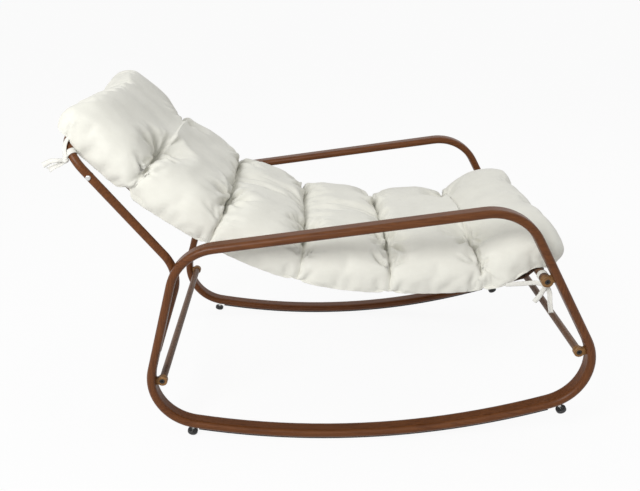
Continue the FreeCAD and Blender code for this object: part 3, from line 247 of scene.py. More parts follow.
def points_of(mesh, what="co"):
    """A mesh's points or, with what set to normal, their normals, one a row."""
    values = np.empty(len(mesh.vertices) * 3)
    mesh.vertices.foreach_get(what, values)
    return values.reshape(-1, 3)


def new_piece(name, points, faces, material):
    """A smooth mesh piece that rides on the frame, in the material it is given."""
    mesh = bpy.data.meshes.new(name)
    mesh.from_pydata(points.reshape(-1, 3).tolist(), [], faces.tolist())
    mesh.update()
    mesh.polygons.foreach_set("use_smooth", np.ones(len(mesh.polygons), bool))
    mesh.materials.append(material)
    piece = bpy.data.objects.new(name, mesh)
    scene.collection.objects.link(piece)
    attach(piece, "frame")
    return piece


def add_thickness(piece, thickness):
    """Gives a sheet its thickness, half to each side."""
    modifier = piece.modifiers.new("thickness", "SOLIDIFY")
    modifier.thickness = thickness
    modifier.offset = 0.0


# Materials

def material_with(name):
    """A node material, its tree and its Principled shader."""
    material = bpy.data.materials.new(name)
    material.use_nodes = True
    tree = material.node_tree
    return material, tree, tree.nodes["Principled BSDF"]


def add(tree, kind, **values):
    """A node with some of its properties or inputs set: names with a leading socket_ are inputs."""
    node = tree.nodes.new(kind)
    for key, value in values.items():
        if key.startswith("socket_"):
            node.inputs[key[7:].replace("_", " ")].default_value = value
        else:
            setattr(node, key, value)
    return node


def new_group(name, inputs, outputs):
    """An empty shader group with named inputs (name, kind, value) and outputs (name, kind)."""
    group = bpy.data.node_groups.new(name, "ShaderNodeTree")
    for label, kind, value in inputs:
        socket = group.interface.new_socket(label, in_out="INPUT", socket_type="NodeSocket" + kind)
        if value is not None:
            socket.default_value = value
    for label, kind in outputs:
        group.interface.new_socket(label, in_out="OUTPUT", socket_type="NodeSocket" + kind)
    return group, group.nodes.new("NodeGroupInput"), group.nodes.new("NodeGroupOutput")


def ramp(tree, low, dark, high, light):
    """A colour ramp from the dark colour, up to a low value, to the light one from a high value on."""
    node = tree.nodes.new("ShaderNodeValToRGB")
    for element, position, colour in zip(node.color_ramp.elements, (low, high), (dark, light)):
        element.position = position
        element.color = (*colour, 1.0)
    return node


def grain_group():
    """Wood grain along the coordinates' X: a noise drawn out about 30 times, over a slow mottle.

    The mottle adds half of its value to the streaks, and it alone varies the roughness.
    """
    group, inside, outside = new_group(
        "grain streaks",
        [("Vector", "Vector", None), ("Dark", "Color", (0.1, 0.04, 0.02, 1)),
         ("Light", "Color", (0.2, 0.08, 0.04, 1))],
        [("Color", "Color"), ("Height", "Float"), ("Roughness", "Float")],
    )
    link = group.links.new
    stretch = add(group, "ShaderNodeMapping", socket_Scale=(9.0, 260.0, 260.0))
    link(inside.outputs["Vector"], stretch.inputs["Vector"])
    streaks = add(group, "ShaderNodeTexNoise", socket_Scale=1.0, socket_Detail=5.0, socket_Roughness=0.6,
                  socket_Distortion=0.4)
    link(stretch.outputs[0], streaks.inputs["Vector"])
    mottle = add(group, "ShaderNodeTexNoise", socket_Scale=14.0, socket_Detail=3.0)
    link(inside.outputs["Vector"], mottle.inputs["Vector"])
    tone = ramp(group, 0.34, (0, 0, 0), 0.68, (1, 1, 1))
    link(streaks.outputs["Fac"], tone.inputs["Fac"])
    both = add(group, "ShaderNodeMath", operation="MULTIPLY_ADD", use_clamp=True)
    link(mottle.outputs["Fac"], both.inputs[0])
    both.inputs[1].default_value = 0.5
    link(tone.outputs["Color"], both.inputs[2])
    mix = add(group, "ShaderNodeMix", data_type="RGBA")
    link(both.outputs[0], mix.inputs["Factor"])
    link(inside.outputs["Dark"], mix.inputs["A"])
    link(inside.outputs["Light"], mix.inputs["B"])
    link(mix.outputs["Result"], outside.inputs["Color"])
    link(streaks.outputs["Fac"], outside.inputs["Height"])
    rough = add(group, "ShaderNodeMapRange", socket_To_Min=0.30, socket_To_Max=0.46)
    link(mottle.outputs["Fac"], rough.inputs["Value"])
    link(rough.outputs[0], outside.inputs["Roughness"])
    return group


GRAIN = grain_group()


def mask_between(tree, value, low, high, soft):
    """1 where the value lies between two levels and 0 elsewhere, with soft edges."""
    link = tree.links.new
    inside = add(tree, "ShaderNodeMath", operation="MULTIPLY")
    for factor, level, below in ((0, low, 0.0), (1, high, 1.0)):
        edge = add(tree, "ShaderNodeMapRange", interpolation_type="SMOOTHSTEP", socket_From_Min=level - soft,
                   socket_From_Max=level + soft, socket_To_Min=below, socket_To_Max=1.0 - below)
        link(value, edge.inputs["Value"])
        link(edge.outputs[0], inside.inputs[factor])
    return inside


def grained_paint(name, dark, light, turns, upright_part=None):
    """Paint with wood grain. A turn is the grain's angle about Y; a second one holds in the upright part."""
    material, tree, shader = material_with(name)
    link = tree.links.new
    place = add(tree, "ShaderNodeTexCoord")
    grains = []
    for turn in turns:
        mapping = add(tree, "ShaderNodeMapping", socket_Rotation=(0.0, turn, 0.0))
        link(place.outputs["Object"], mapping.inputs["Vector"])
        grain = add(tree, "ShaderNodeGroup", node_tree=GRAIN)
        grain.inputs["Dark"].default_value = (*dark, 1)
        grain.inputs["Light"].default_value = (*light, 1)
        link(mapping.outputs[0], grain.inputs["Vector"])
        grains.append(grain)
    colour = grains[0].outputs["Color"]
    if upright_part:
        axes = add(tree, "ShaderNodeSeparateXYZ")
        link(place.outputs["Object"], axes.inputs[0])
        mask = mask_between(tree, axes.outputs["Z"], *upright_part)
        mix = add(tree, "ShaderNodeMix", data_type="RGBA")
        link(mask.outputs[0], mix.inputs["Factor"])
        link(colour, mix.inputs["A"])
        link(grains[1].outputs["Color"], mix.inputs["B"])
        colour = mix.outputs["Result"]
    link(colour, shader.inputs["Base Color"])
    link(grains[0].outputs["Roughness"], shader.inputs["Roughness"])
    bump = add(tree, "ShaderNodeBump", socket_Strength=0.12, socket_Distance=0.0002)
    link(grains[0].outputs["Height"], bump.inputs["Height"])
    link(bump.outputs[0], shader.inputs["Normal"])
    shader.inputs["Specular IOR Level"].default_value = 0.2
    return material


def weave_group():
    """Plain weave: the higher of two crossed waves as height, and a noise between two tones as colour."""
    group, inside, outside = new_group(
        "plain weave",
        [("Vector", "Vector", None), ("Threads", "Float", 900.0), ("Color", "Color", (0.8, 0.8, 0.75, 1)),
         ("Shade", "Color", (0.7, 0.7, 0.66, 1))],
        [("Color", "Color"), ("Height", "Float")],
    )
    link = group.links.new
    over = add(group, "ShaderNodeMath", operation="MAXIMUM")
    for factor, direction in enumerate("XY"):
        wave = add(group, "ShaderNodeTexWave", wave_type="BANDS", bands_direction=direction,
                   socket_Distortion=0.6, socket_Detail=1.0)
        link(inside.outputs["Vector"], wave.inputs["Vector"])
        link(inside.outputs["Threads"], wave.inputs["Scale"])
        link(wave.outputs["Fac"], over.inputs[factor])
    mottle = add(group, "ShaderNodeTexNoise", socket_Scale=22.0, socket_Detail=6.0, socket_Roughness=0.65)
    link(inside.outputs["Vector"], mottle.inputs["Vector"])
    tone = ramp(group, 0.25, (0, 0, 0), 0.75, (1, 1, 1))
    link(mottle.outputs["Fac"], tone.inputs["Fac"])
    mix = add(group, "ShaderNodeMix", data_type="RGBA")
    link(tone.outputs["Color"], mix.inputs["Factor"])
    link(inside.outputs["Shade"], mix.inputs["A"])
    link(inside.outputs["Color"], mix.inputs["B"])
    link(mix.outputs["Result"], outside.inputs["Color"])
    link(over.outputs[0], outside.inputs["Height"])
    return group


WEAVE = weave_group()


def woven_cloth(name, colour, shade, threads, bump_depth, sheen, crease_depth=0.0):
    """Matt cloth: the weave as bump, soft creases from noise, and a little sheen."""
    material, tree, shader = material_with(name)
    link = tree.links.new
    place = add(tree, "ShaderNodeTexCoord")
    weave = add(tree, "ShaderNodeGroup", node_tree=WEAVE)
    weave.inputs["Threads"].default_value = threads
    weave.inputs["Color"].default_value = (*colour, 1)
    weave.inputs["Shade"].default_value = (*shade, 1)
    link(place.outputs["Object"], weave.inputs["Vector"])
    link(weave.outputs["Color"], shader.inputs["Base Color"])
    shader.inputs["Roughness"].default_value = 0.9
    shader.inputs["Sheen Weight"].default_value = sheen
    shader.inputs["Sheen Roughness"].default_value = 0.6
    shader.inputs["Specular IOR Level"].default_value = 0.25
    bump = add(tree, "ShaderNodeBump", socket_Strength=0.5, socket_Distance=bump_depth)
    link(weave.outputs["Height"], bump.inputs["Height"])
    if crease_depth:
        creases = add(tree, "ShaderNodeTexNoise", socket_Scale=16.0, socket_Detail=4.0, socket_Roughness=0.5,
                      socket_Distortion=0.8)
        link(place.outputs["Object"], creases.inputs["Vector"])
        soft = add(tree, "ShaderNodeBump", socket_Strength=0.35, socket_Distance=crease_depth)
        link(creases.outputs["Fac"], soft.inputs["Height"])
        link(soft.outputs[0], bump.inputs["Normal"])
    link(bump.outputs[0], shader.inputs["Normal"])
    return material


def plain_finish(name, colour, roughness, metallic=0.0, speckle=0.15):
    """Moulded plastic, rubber or metal: fine speckle in colour, roughness and bump."""
    material, tree, shader = material_with(name)
    link = tree.links.new
    place = add(tree, "ShaderNodeTexCoord")
    noise = add(tree, "ShaderNodeTexNoise", socket_Scale=300.0, socket_Detail=4.0)
    link(place.outputs["Object"], noise.inputs["Vector"])
    dark = tuple(value * (1 - speckle) for value in colour)
    light = tuple(value * (1 + speckle) for value in colour)
    tone = ramp(tree, 0.3, dark, 0.7, light)
    link(noise.outputs["Fac"], tone.inputs["Fac"])
    link(tone.outputs["Color"], shader.inputs["Base Color"])
    rough = add(tree, "ShaderNodeMapRange", socket_To_Min=roughness - 0.08, socket_To_Max=roughness + 0.08)
    link(noise.outputs["Fac"], rough.inputs["Value"])
    link(rough.outputs[0], shader.inputs["Roughness"])
    shader.inputs["Metallic"].default_value = metallic
    bump = add(tree, "ShaderNodeBump", socket_Strength=0.3, socket_Distance=0.00005)
    link(noise.outputs["Fac"], bump.inputs["Height"])
    link(bump.outputs[0], shader.inputs["Normal"])
    return material


# Paint colours, the dark and the light of the grain, and the heights of the loops' upright part
WALNUT = ((0.066, 0.020, 0.005), (0.130, 0.044, 0.012))
BAR_BROWN = ((0.085, 0.042, 0.024), (0.160, 0.092, 0.058))
LUG_BROWN = ((0.130, 0.062, 0.020), (0.250, 0.130, 0.048))
UPRIGHT_PART = (0.125, 0.455, 0.03)
GRAIN_UP = math.pi / 2
loop_paint = grained_paint("loop paint", *WALNUT, (0.0, GRAIN_UP), UPRIGHT_PART)
upright_paint = grained_paint("upright paint", *WALNUT, (GRAIN_UP - BACK_ANGLE,))
rail_paint = grained_paint("head rail paint", *WALNUT, (GRAIN_UP - BACK_ANGLE,))
bar_paint = grained_paint("crossbar paint", *BAR_BROWN, (0.0,))
lug_paint = grained_paint("lug paint", *LUG_BROWN, (0.0,))
rubber = plain_finish("black rubber", (0.018, 0.017, 0.017), 0.75)
black_plastic = plain_finish("black plastic", (0.016, 0.016, 0.016), 0.5)
zinc = plain_finish("bright zinc", (0.70, 0.70, 0.68), 0.28, metallic=1.0, speckle=0.08)
black_oxide = plain_finish("black oxide", (0.035, 0.032, 0.030), 0.42, metallic=0.6)
cushion_cloth = woven_cloth("off-white cloth", (0.750, 0.742, 0.672), (0.690, 0.682, 0.615),
                            threads=900.0, bump_depth=0.00012, sheen=0.25, crease_depth=0.004)
tie_cloth = woven_cloth("tie cloth", (0.76, 0.75, 0.70), (0.68, 0.67, 0.62),
                        threads=900.0, bump_depth=0.00015, sheen=0.2, crease_depth=0.002)
sling_cloth = woven_cloth("brown mesh cloth", (0.135, 0.070, 0.040), (0.085, 0.043, 0.024),
                          threads=520.0, bump_depth=0.0004, sheen=0.15)

FINISHES = {
    "side_loop": loop_paint,
    "back_upright": upright_paint,
    "head_rail": rail_paint,
    "crossbar": bar_paint,
    "seat_rail": bar_paint,
    "lug": lug_paint,
    "rocker_strip": rubber,
    "foot_pad": black_plastic,
    "foot_stem": zinc,
    "crossbar_bolts": black_oxide,
    "inserts": zinc,
    "head_rail_bolts": zinc,
    "head_rail_nuts": zinc,
    "upright_end_plugs": black_plastic,
}
for name, node in nodes.items():
    endings = [ending for ending in FINISHES if name.endswith(ending)]
    if endings:
        node.data.materials.clear()
        node.data.materials.append(FINISHES[max(endings, key=len)])


# The side view: the line that the cloth follows, and the rails

def heights_of(node, places, from_above):
    """The node's height at each X beside the middle plane, by a ray from above or from below."""
    start, way = (2.0, -1.0) if from_above else (-1.0, 1.0)
    target = nodes[node]
    hits = [target.ray_cast(Vector((x, RAY_ACROSS, start)), Vector((0, 0, way))) for x in places]
    return np.array([hit[1].z if hit[0] else np.nan for hit in hits])


class Line:
    """A smooth line in the side view, known by its length: points and headings at even steps."""

    def __init__(self, x, z):
        steps = np.hypot(np.diff(x), np.diff(z))
        run = np.concatenate([[0.0], np.cumsum(steps)])
        self.length = float(run[-1])
        self.run = np.linspace(0.0, self.length, LINE_SAMPLES)
        self.x = np.interp(self.run, run, x)
        self.z = np.interp(self.run, run, z)
        turn = np.unwrap(np.arctan2(np.gradient(self.z), np.gradient(self.x)))
        window = np.hanning(HEADING_SAMPLES)
        padded_turn = np.pad(turn, HEADING_SAMPLES // 2, mode="edge")
        self.turn = np.convolve(padded_turn, window / window.sum(), mode="valid")

    def place(self, along, across, height):
        """World points at a distance along the line, across it and above it, past its ends too."""
        inner = np.clip(along, 0.0, self.length)
        past = along - inner
        turn = np.interp(inner, self.run, self.turn)
        x = np.interp(inner, self.run, self.x) + past * np.cos(turn) - height * np.sin(turn)
        z = np.interp(inner, self.run, self.z) + past * np.sin(turn) + height * np.cos(turn)
        return np.stack(np.broadcast_arrays(x, across, z), axis=-1)


def underside_line():
    """The cushion's underside in the side view, read from the solid that it replaces.

    It ends at the lowest place of the front end.
    """
    low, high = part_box("cushion")
    x = np.linspace(low.x + BOX_MARGIN, high.x - BOX_MARGIN, SIDE_VIEW_RAYS)
    z = heights_of("cushion", x, from_above=False)
    front = np.flatnonzero(x > FRONT_END_X)
    end = front[np.nanargmin(z[front])]
    good = np.isfinite(z[:end + 1])
    return Line(x[:end + 1][good], z[:end + 1][good])


def head_rail_place():
    """The head rail's middle in the side view (X, Z), from the box of the sling's sleeve round it."""
    low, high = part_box("sling")
    return np.array([low.x + SLEEVE_OUTSIDE, high.z - SLEEVE_OUTSIDE])


def seat_rail_place():
    """The seat rail's middle in the side view (X, Z)."""
    low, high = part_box("seat_rail")
    return np.array([(low.x + high.x) / 2, (low.z + high.z) / 2])


# The cushion

def smooth_step(value, start, end):
    """0 before the start, 1 after the end, and 3 t**2 - 2 t**3 between them."""
    t = np.clip((value - start) / (end - start), 0.0, 1.0)
    return t * t * (3 - 2 * t)


def cell_arch(along, length):
    """The cell's number, the place a in it, its arch, and where its nearer edge is an end of the pad.

    a goes from -1 at one seam to 1 at the next, and the arch is the square root of 1 - |a|**3.4.
    """
    share = np.clip(along / length, 0.0, 1.0) * CELLS
    cell = np.minimum(np.floor(share), CELLS - 1)
    a = 2 * (share - cell) - 1
    at_end = (cell == 0) & (a < 0) | (cell == CELLS - 1) & (a > 0)
    return cell, a, np.clip(1 - np.abs(a) ** ARCH_POWER, 0.0, 1.0) ** 0.5, at_end


def soft_seam(along, length):
    """True beside the first and the last seam, which are drawn down at their tufts and ends alone."""
    nearest = np.clip(np.round(along / length * CELLS), 1, CELLS - 1)
    return (nearest == 1) | (nearest == CELLS - 1)


def cushion_thickness(along, across, length, fullness):
    """Thickness of the pad: from the seam's or end's thickness up to the crown by the cell's arch.

    A seam is thinner by a bell curve round each tuft, and the crown has a slight dimple beside a tuft.
    """
    cell, a, arch, at_end = cell_arch(along, length)
    tuft = np.exp(-(((np.abs(across) - TUFT_ACROSS) / TUFT_REACH) ** 2))
    inside = smooth_step(TUFT_ACROSS - np.abs(across), 0.0, TUFT_BLEND * TUFT_REACH)
    seam = SEAM_THICKNESS + (SOFT_SEAM_THICKNESS - SEAM_THICKNESS) * soft_seam(along, length) * inside
    seam = seam - (seam - TUFT_THICKNESS) * tuft
    crown = np.where(cell == CELLS - 1, FRONT_CROWN, np.where(cell == 0, HEAD_CROWN, CELL_CROWN)) * fullness
    low = np.where(at_end, END_THICKNESS * fullness, seam)
    fade = tuft * np.clip(1 - np.abs(np.abs(a) - 1) / TUFT_DIMPLE_SPAN, 0.0, 1.0)
    return low + (crown - low) * arch * (1 - TUFT_DIMPLE * fade)


def half_width(along, length):
    """Half the pad's width: drawn in at the seams, wider in front and rounded at the corners."""
    arch, at_end = cell_arch(along, length)[2:]
    from_end = np.clip(np.minimum(along - HEAD_TRIM, length - FRONT_TRIM - along), 0.0, CORNER_ROUND)
    corner = CORNER_ROUND - np.sqrt(CORNER_ROUND ** 2 - (CORNER_ROUND - from_end) ** 2)
    widening = FRONT_WIDENING * smooth_step(along / length, *FRONT_WIDENING_SPAN)
    return CUSHION_WIDTH / 2 + widening - SEAM_DRAW_IN * (1 - arch) * ~at_end - corner


def row_places(length, inset):
    """Distances of the rows: every seam has one, and they lie closer beside the seams.

    In a cell, t - 0.55 / (2 pi) * sin(2 pi t). The outer halves of the end cells make room for the side.
    """
    cell = length / CELLS
    t = np.arange(CELLS * CELL_ROWS + 1) / CELL_ROWS
    places = (t - ROW_CROWDING / (2 * math.pi) * np.sin(2 * math.pi * t)) * cell
    head_inset, front_inset = inset + HEAD_TRIM, inset + FRONT_TRIM
    places = np.where(places < cell / 2, head_inset + places * (cell / 2 - head_inset) / (cell / 2), places)
    from_front = length - places
    return np.where(from_front < cell / 2,
                    length - front_inset - from_front * (cell / 2 - front_inset) / (cell / 2), places)


def lip_drop(along, half, outward_across, rail_along):
    """How far the pad's long sides hang down past the sling's edge.

    The drop fades out where the sides draw in at the seams, towards the ends and towards the rails.
    """
    drop = HEAD_LIP_DROP + (LIP_DROP - HEAD_LIP_DROP) * smooth_step(along, *LIP_CHANGE_SPAN)
    clear = smooth_step(half - UNDERSIDE_INSET - SLING_WIDTH / 2, *LIP_CLEARANCE)
    ends = smooth_step(along, *HEAD_RAIL_SPAN) * smooth_step(rail_along - along, *SEAT_RAIL_SPAN)
    return drop * clear * ends * outward_across ** 2


def outward_on_plan(plan):
    """Unit directions out of a closed line on plan, square to the line through each point's neighbours."""
    tangent = np.roll(plan, -1, axis=0) - np.roll(plan, 1, axis=0)
    tangent /= np.linalg.norm(tangent, axis=1)[:, None]
    outward = np.stack([-tangent[:, 1], tangent[:, 0]], axis=-1)
    return outward * (-1.0 if outward[0, 0] > 0 else 1.0)


def side_walls(line, plan, under_plan, edge_height, half):
    """The side's rows of points, from the top's edge to the bottom's.

    They go out by the cosine of their angle to the power 0.8 and down by its sine, past the sling's edge
    where there is a lip.
    """
    outward = outward_on_plan(plan)
    outer_plan = plan + outward * SIDE_RADIUS
    rail_along = float(np.interp(seat_rail_place()[0], line.x, line.run))
    lip = lip_drop(plan[:, 0], half, outward[:, 1], rail_along)
    middle = (edge_height - lip) / 2
    angles = np.linspace(math.pi / 2, -math.pi / 2, SIDE_ROWS + 1)[1:, None]
    push = np.clip(np.cos(angles), 0.0, 1.0)[:, :, None] ** SIDE_POWER
    inner_plan = np.where(angles[:, :, None] > 0, plan[None], under_plan[None])
    wall_plan = inner_plan + (outer_plan[None] - inner_plan) * push
    lift = middle + (edge_height - middle) * np.sin(angles)
    return line.place(wall_plan[..., 0], wall_plan[..., 1], lift)


def side_faces(ring, count):
    """Quads between the top's edge, the side's rows and the bottom's edge. Each grid has count points."""
    around = len(ring)
    rows = 2 * count + np.arange(SIDE_ROWS * around).reshape(SIDE_ROWS, around)
    levels = np.concatenate([ring[None, :], rows, ring[None, :] + count])
    after = np.roll(levels, -1, axis=1)
    return np.stack([levels[:-1], after[:-1], after[1:], levels[1:]], axis=-1).reshape(-1, 4)


def held_in_seams(along, across, length):
    """True for the top's points in the seams, apart from the soft seams between their tufts."""
    row = np.arange(along.shape[0])[:, None]
    at_seam = (row % CELL_ROWS == 0) & (row > 0) & (row < CELLS * CELL_ROWS)
    loose = soft_seam(along, length) & (np.abs(across) < TUFT_ACROSS - LOOSE_SEAM_GAP)
    return at_seam & ~loose


def cushion_mesh(line, fullness, shrink):
    """Points, faces and held points of the pad: a top and a bottom grid, joined by the side's rows.

    Both grids run along and across. The simulation holds the seams, the underside and the side's last row.
    """
    length = line.length
    share = np.linspace(-1.0, 1.0, CUSHION_COLUMNS + 1)
    along, b = np.meshgrid(row_places(length, SIDE_RADIUS), share, indexing="ij")
    half = half_width(along, length)
    across = b * (half - SIDE_RADIUS - shrink)
    under_along = np.broadcast_to(row_places(length, UNDERSIDE_INSET)[:, None], b.shape)
    under_across = b * (half_width(under_along, length) - UNDERSIDE_INSET)
    shoulder = 1 - SHOULDER_DROP * np.abs(b) ** SHOULDER_POWER
    height = cushion_thickness(along, across, length, fullness) * shoulder
    top = line.place(along, across, height)
    bottom = line.place(under_along, under_across, np.full_like(along, UNDERSIDE_GAP))
    index = np.arange(along.size).reshape(along.shape)
    ring = np.concatenate([index[0, :-1], index[:-1, -1], index[-1, :0:-1], index[:0:-1, 0]])
    plan = np.stack([along.ravel()[ring], across.ravel()[ring]], axis=-1)
    under_plan = np.stack([under_along.ravel()[ring], under_across.ravel()[ring]], axis=-1)
    walls = side_walls(line, plan, under_plan, height.ravel()[ring], half.ravel()[ring])
    points = np.concatenate([part.reshape(-1, 3) for part in (top, bottom, walls)])
    top_faces = grid_faces(*along.shape)[:, ::-1]
    bottom_faces = grid_faces(*along.shape, first=along.size)
    faces = np.concatenate([top_faces, bottom_faces, side_faces(ring, along.size)])
    held_side = np.repeat([False, True], [(SIDE_ROWS - 1) * len(ring), len(ring)])
    held_top = held_in_seams(along, across, length).ravel()
    held = np.concatenate([held_top, np.ones(along.size, bool), held_side])
    return points, faces, held


def outward_faces(piece):
    """Turns the faces of a closed mesh outwards, by the sign of its volume."""
    mesh = piece.data
    mesh.calc_loop_triangles()
    triangles = np.empty(len(mesh.loop_triangles) * 3, int)
    mesh.loop_triangles.foreach_get("vertices", triangles)
    a, b, c = points_of(mesh)[triangles.reshape(-1, 3)].transpose(1, 0, 2)
    if float(np.einsum("ij,ij->i", a, np.cross(b, c)).sum()) < 0:
        mesh.flip_normals()
        mesh.update()


def stuff(piece, held):
    """Stuffs a closed mesh by cloth simulation under pressure, and applies the result.

    The held points stay. The cloth is a little larger than the mesh, so it puckers beside them.
    """
    group = piece.vertex_groups.new(name="held")
    group.add(np.flatnonzero(held).tolist(), 1.0, "REPLACE")
    stuffing = piece.modifiers.new("stuffing", "CLOTH")
    cloth = stuffing.settings
    for name, value in CASE_CLOTH.items():
        setattr(cloth, name, value)
    cloth.use_pressure = True
    cloth.uniform_pressure_force = PRESSURE
    cloth.effector_weights.gravity = 0.0
    cloth.vertex_group_mass = "held"
    cloth.shrink_min = -CLOTH_GROWTH
    stuffing.collision_settings.use_collision = False
    stuffing.point_cache.frame_start = 1
    stuffing.point_cache.frame_end = STUFFING_STEPS
    for step in range(1, STUFFING_STEPS + 1):
        scene.frame_set(step)
    graph = bpy.context.evaluated_depsgraph_get()
    before = points_of(piece.data)
    move = points_of(piece.evaluated_get(graph).data) - before
    far = np.linalg.norm(move, axis=1)[:, None]
    move *= np.minimum(1.0, SWELL_LIMIT / np.maximum(far, 1e-9))
    piece.modifiers.remove(stuffing)
    piece.vertex_groups.remove(group)
    scene.frame_set(1)
    piece.data.vertices.foreach_set("co", (before + move).ravel())
    piece.data.update()


def subdivide(piece):
    """Replaces the piece's mesh by its once smoothly divided one."""
    modifier = piece.modifiers.new("smooth", "SUBSURF")
    modifier.levels = 1
    modifier.render_levels = 1
    graph = bpy.context.evaluated_depsgraph_get()
    fine = bpy.data.meshes.new_from_object(piece.evaluated_get(graph))
    piece.modifiers.clear()
    coarse, piece.data = piece.data, fine
    bpy.data.meshes.remove(coarse)
    fine.name = piece.name


def places_on_pad(points, line):
    """Distance along the line, height over it and distance round from the middle, for each point."""
    curve = np.stack([line.x, line.z], axis=-1)
    nearest = np.concatenate([
        np.argmin(((block[:, None, ::2] - curve[None]) ** 2).sum(axis=-1), axis=1)
        for block in np.array_split(points, POINT_BLOCKS)])
    turn = line.turn[nearest]
    offset = points[:, ::2] - curve[nearest]
    height = -offset[:, 0] * np.sin(turn) + offset[:, 1] * np.cos(turn)
    along = line.run[nearest] + offset[:, 0] * np.cos(turn) + offset[:, 1] * np.sin(turn)
    side = np.clip((np.abs(points[:, 1]) - SIDE_START) / SIDE_TURN, 0.0, 1.0)
    round_edge = np.abs(points[:, 1]) + side * np.clip(EDGE_HEIGHT - height, 0.0, EDGE_DEPTH)
    return along, height, np.sign(points[:, 1]) * round_edge


def fold(along, around, centre, angle, reach, width, bend):
    """A narrow valley that leaves a centre at an angle, between two low ridges, and fades at its reach.

    Across it the height is -exp(-s**2) + 0.55 exp(-(s - 1.9)**2), with s the distance in widths.
    """
    dx, dy = along - centre[0], around - centre[1]
    forward = dx * math.cos(angle) + dy * math.sin(angle)
    beside = -dx * math.sin(angle) + dy * math.cos(angle) - bend * forward ** 2
    spread = width * (1 + FOLD_SPREADING * np.clip(forward / reach, 0.0, 1.0))
    share = (beside / spread) ** 2
    started = smooth_step(forward, FOLD_START[0] * reach, FOLD_START[1] * reach)
    fade = started * (1 - smooth_step(forward, FOLD_FADING * reach, reach))
    return fade * (-np.exp(-share) + RIDGE_SHARE * np.exp(-((np.sqrt(share) - RIDGE_PLACE) ** 2)))


def folds_from(random, along, around, centre, angles, kind):
    """The sum of the folds that leave one centre, each with its turn, reach, width, depth and bend drawn."""
    push = np.zeros(len(along))
    for angle in angles:
        turned = angle + random.uniform(-kind.turn, kind.turn)
        reach = random.uniform(*kind.reach)
        width = random.uniform(*kind.width) * MM
        depth = random.uniform(*kind.depth) * MM
        bend = random.uniform(-kind.bend, kind.bend)
        push += depth * fold(along, around, centre, turned, reach, width, bend)
    return push


def cushion_folds(along, around, cell):
    """The folds that fan out from every tuft and from both ends of every seam."""
    push = np.zeros(len(along))
    random = np.random.default_rng(11)
    for number in range(1, CELLS):
        for side in (-1, 1):
            angles = np.linspace(0.0, 2 * math.pi, FOLDS_AT_TUFT, endpoint=False)
            angles = angles + random.uniform(*FIRST_TUFT_FOLD)
            tuft = (number * cell, side * TUFT_ACROSS)
            push += folds_from(random, along, around, tuft, angles, TUFT_FOLDS)
            angles = side * (np.linspace(-SEAM_END_FAN, SEAM_END_FAN, FOLDS_AT_SEAM_END) - math.pi / 2)
            seam_end = (number * cell, side * SEAM_END_ACROSS)
            push += folds_from(random, along, around, seam_end, angles, SEAM_END_FOLDS)
    return push


def crease_cloth(piece, line):
    """Folds and waves the cloth along its normals, and sinks a crease into each seam.

    The front end then droops by one smooth step.
    """
    mesh = piece.data
    points, normals = points_of(mesh), points_of(mesh, "normal")
    along, height, around = places_on_pad(points, line)
    cell = line.length / CELLS
    seam = np.clip(np.round(along / cell), 1, CELLS - 1) * cell
    push = cushion_folds(along, around, cell) * smooth_step(np.abs(along - seam), *FOLD_SEAM_CLEARANCE)
    first, second = (np.sin(along * a + around * b + c) for a, b, c in (FIRST_WAVE, SECOND_WAVE))
    wave = WAVE_DEPTH * first * second
    points += normals * ((push + wave) * smooth_step(height, *FOLD_HEIGHTS))[:, None]
    between = smooth_step(TUFT_ACROSS - np.abs(around), *SOFT_CREASE_SPAN)
    firm = 1 - SOFT_CREASE_LOSS * soft_seam(along, line.length) * between
    crease = SEAM_CREASE * firm * np.exp(-(((along - seam) / CREASE_WIDTH) ** 2))
    crease *= smooth_step(height, *CREASE_HEIGHTS)
    turn = np.interp(along, line.run, line.turn)
    points[:, 0] += crease * np.sin(turn)
    points[:, 2] -= crease * np.cos(turn)
    points[:, 2] -= FRONT_DROOP * smooth_step(points[:, 0], *FRONT_DROOP_SPAN)
    mesh.vertices.foreach_set("co", points.ravel())
    mesh.update()


def make_cushion():
    """The channelled pad: a case drawn over the sling's line, stuffed, subdivided and creased.
    """
    line = underside_line()
    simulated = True
    points, faces, held = cushion_mesh(line, FULLNESS if simulated else 1.0, SHRINK if simulated else 0.0)
    piece = new_piece("channelled_cushion", points, faces, cushion_cloth)
    outward_faces(piece)
    if simulated:
        stuff(piece, held)
    subdivide(piece)
    crease_cloth(piece, line)
    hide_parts("cushion")


# The sling

def arc_round(centre, radius, start, end):
    """Points of a sleeve: on a circle in the side view between two angles."""
    angle = np.linspace(start, end, SLEEVE_SAMPLES)
    return np.stack([centre[0] + radius * np.cos(angle), centre[1] + radius * np.sin(angle)], axis=-1)


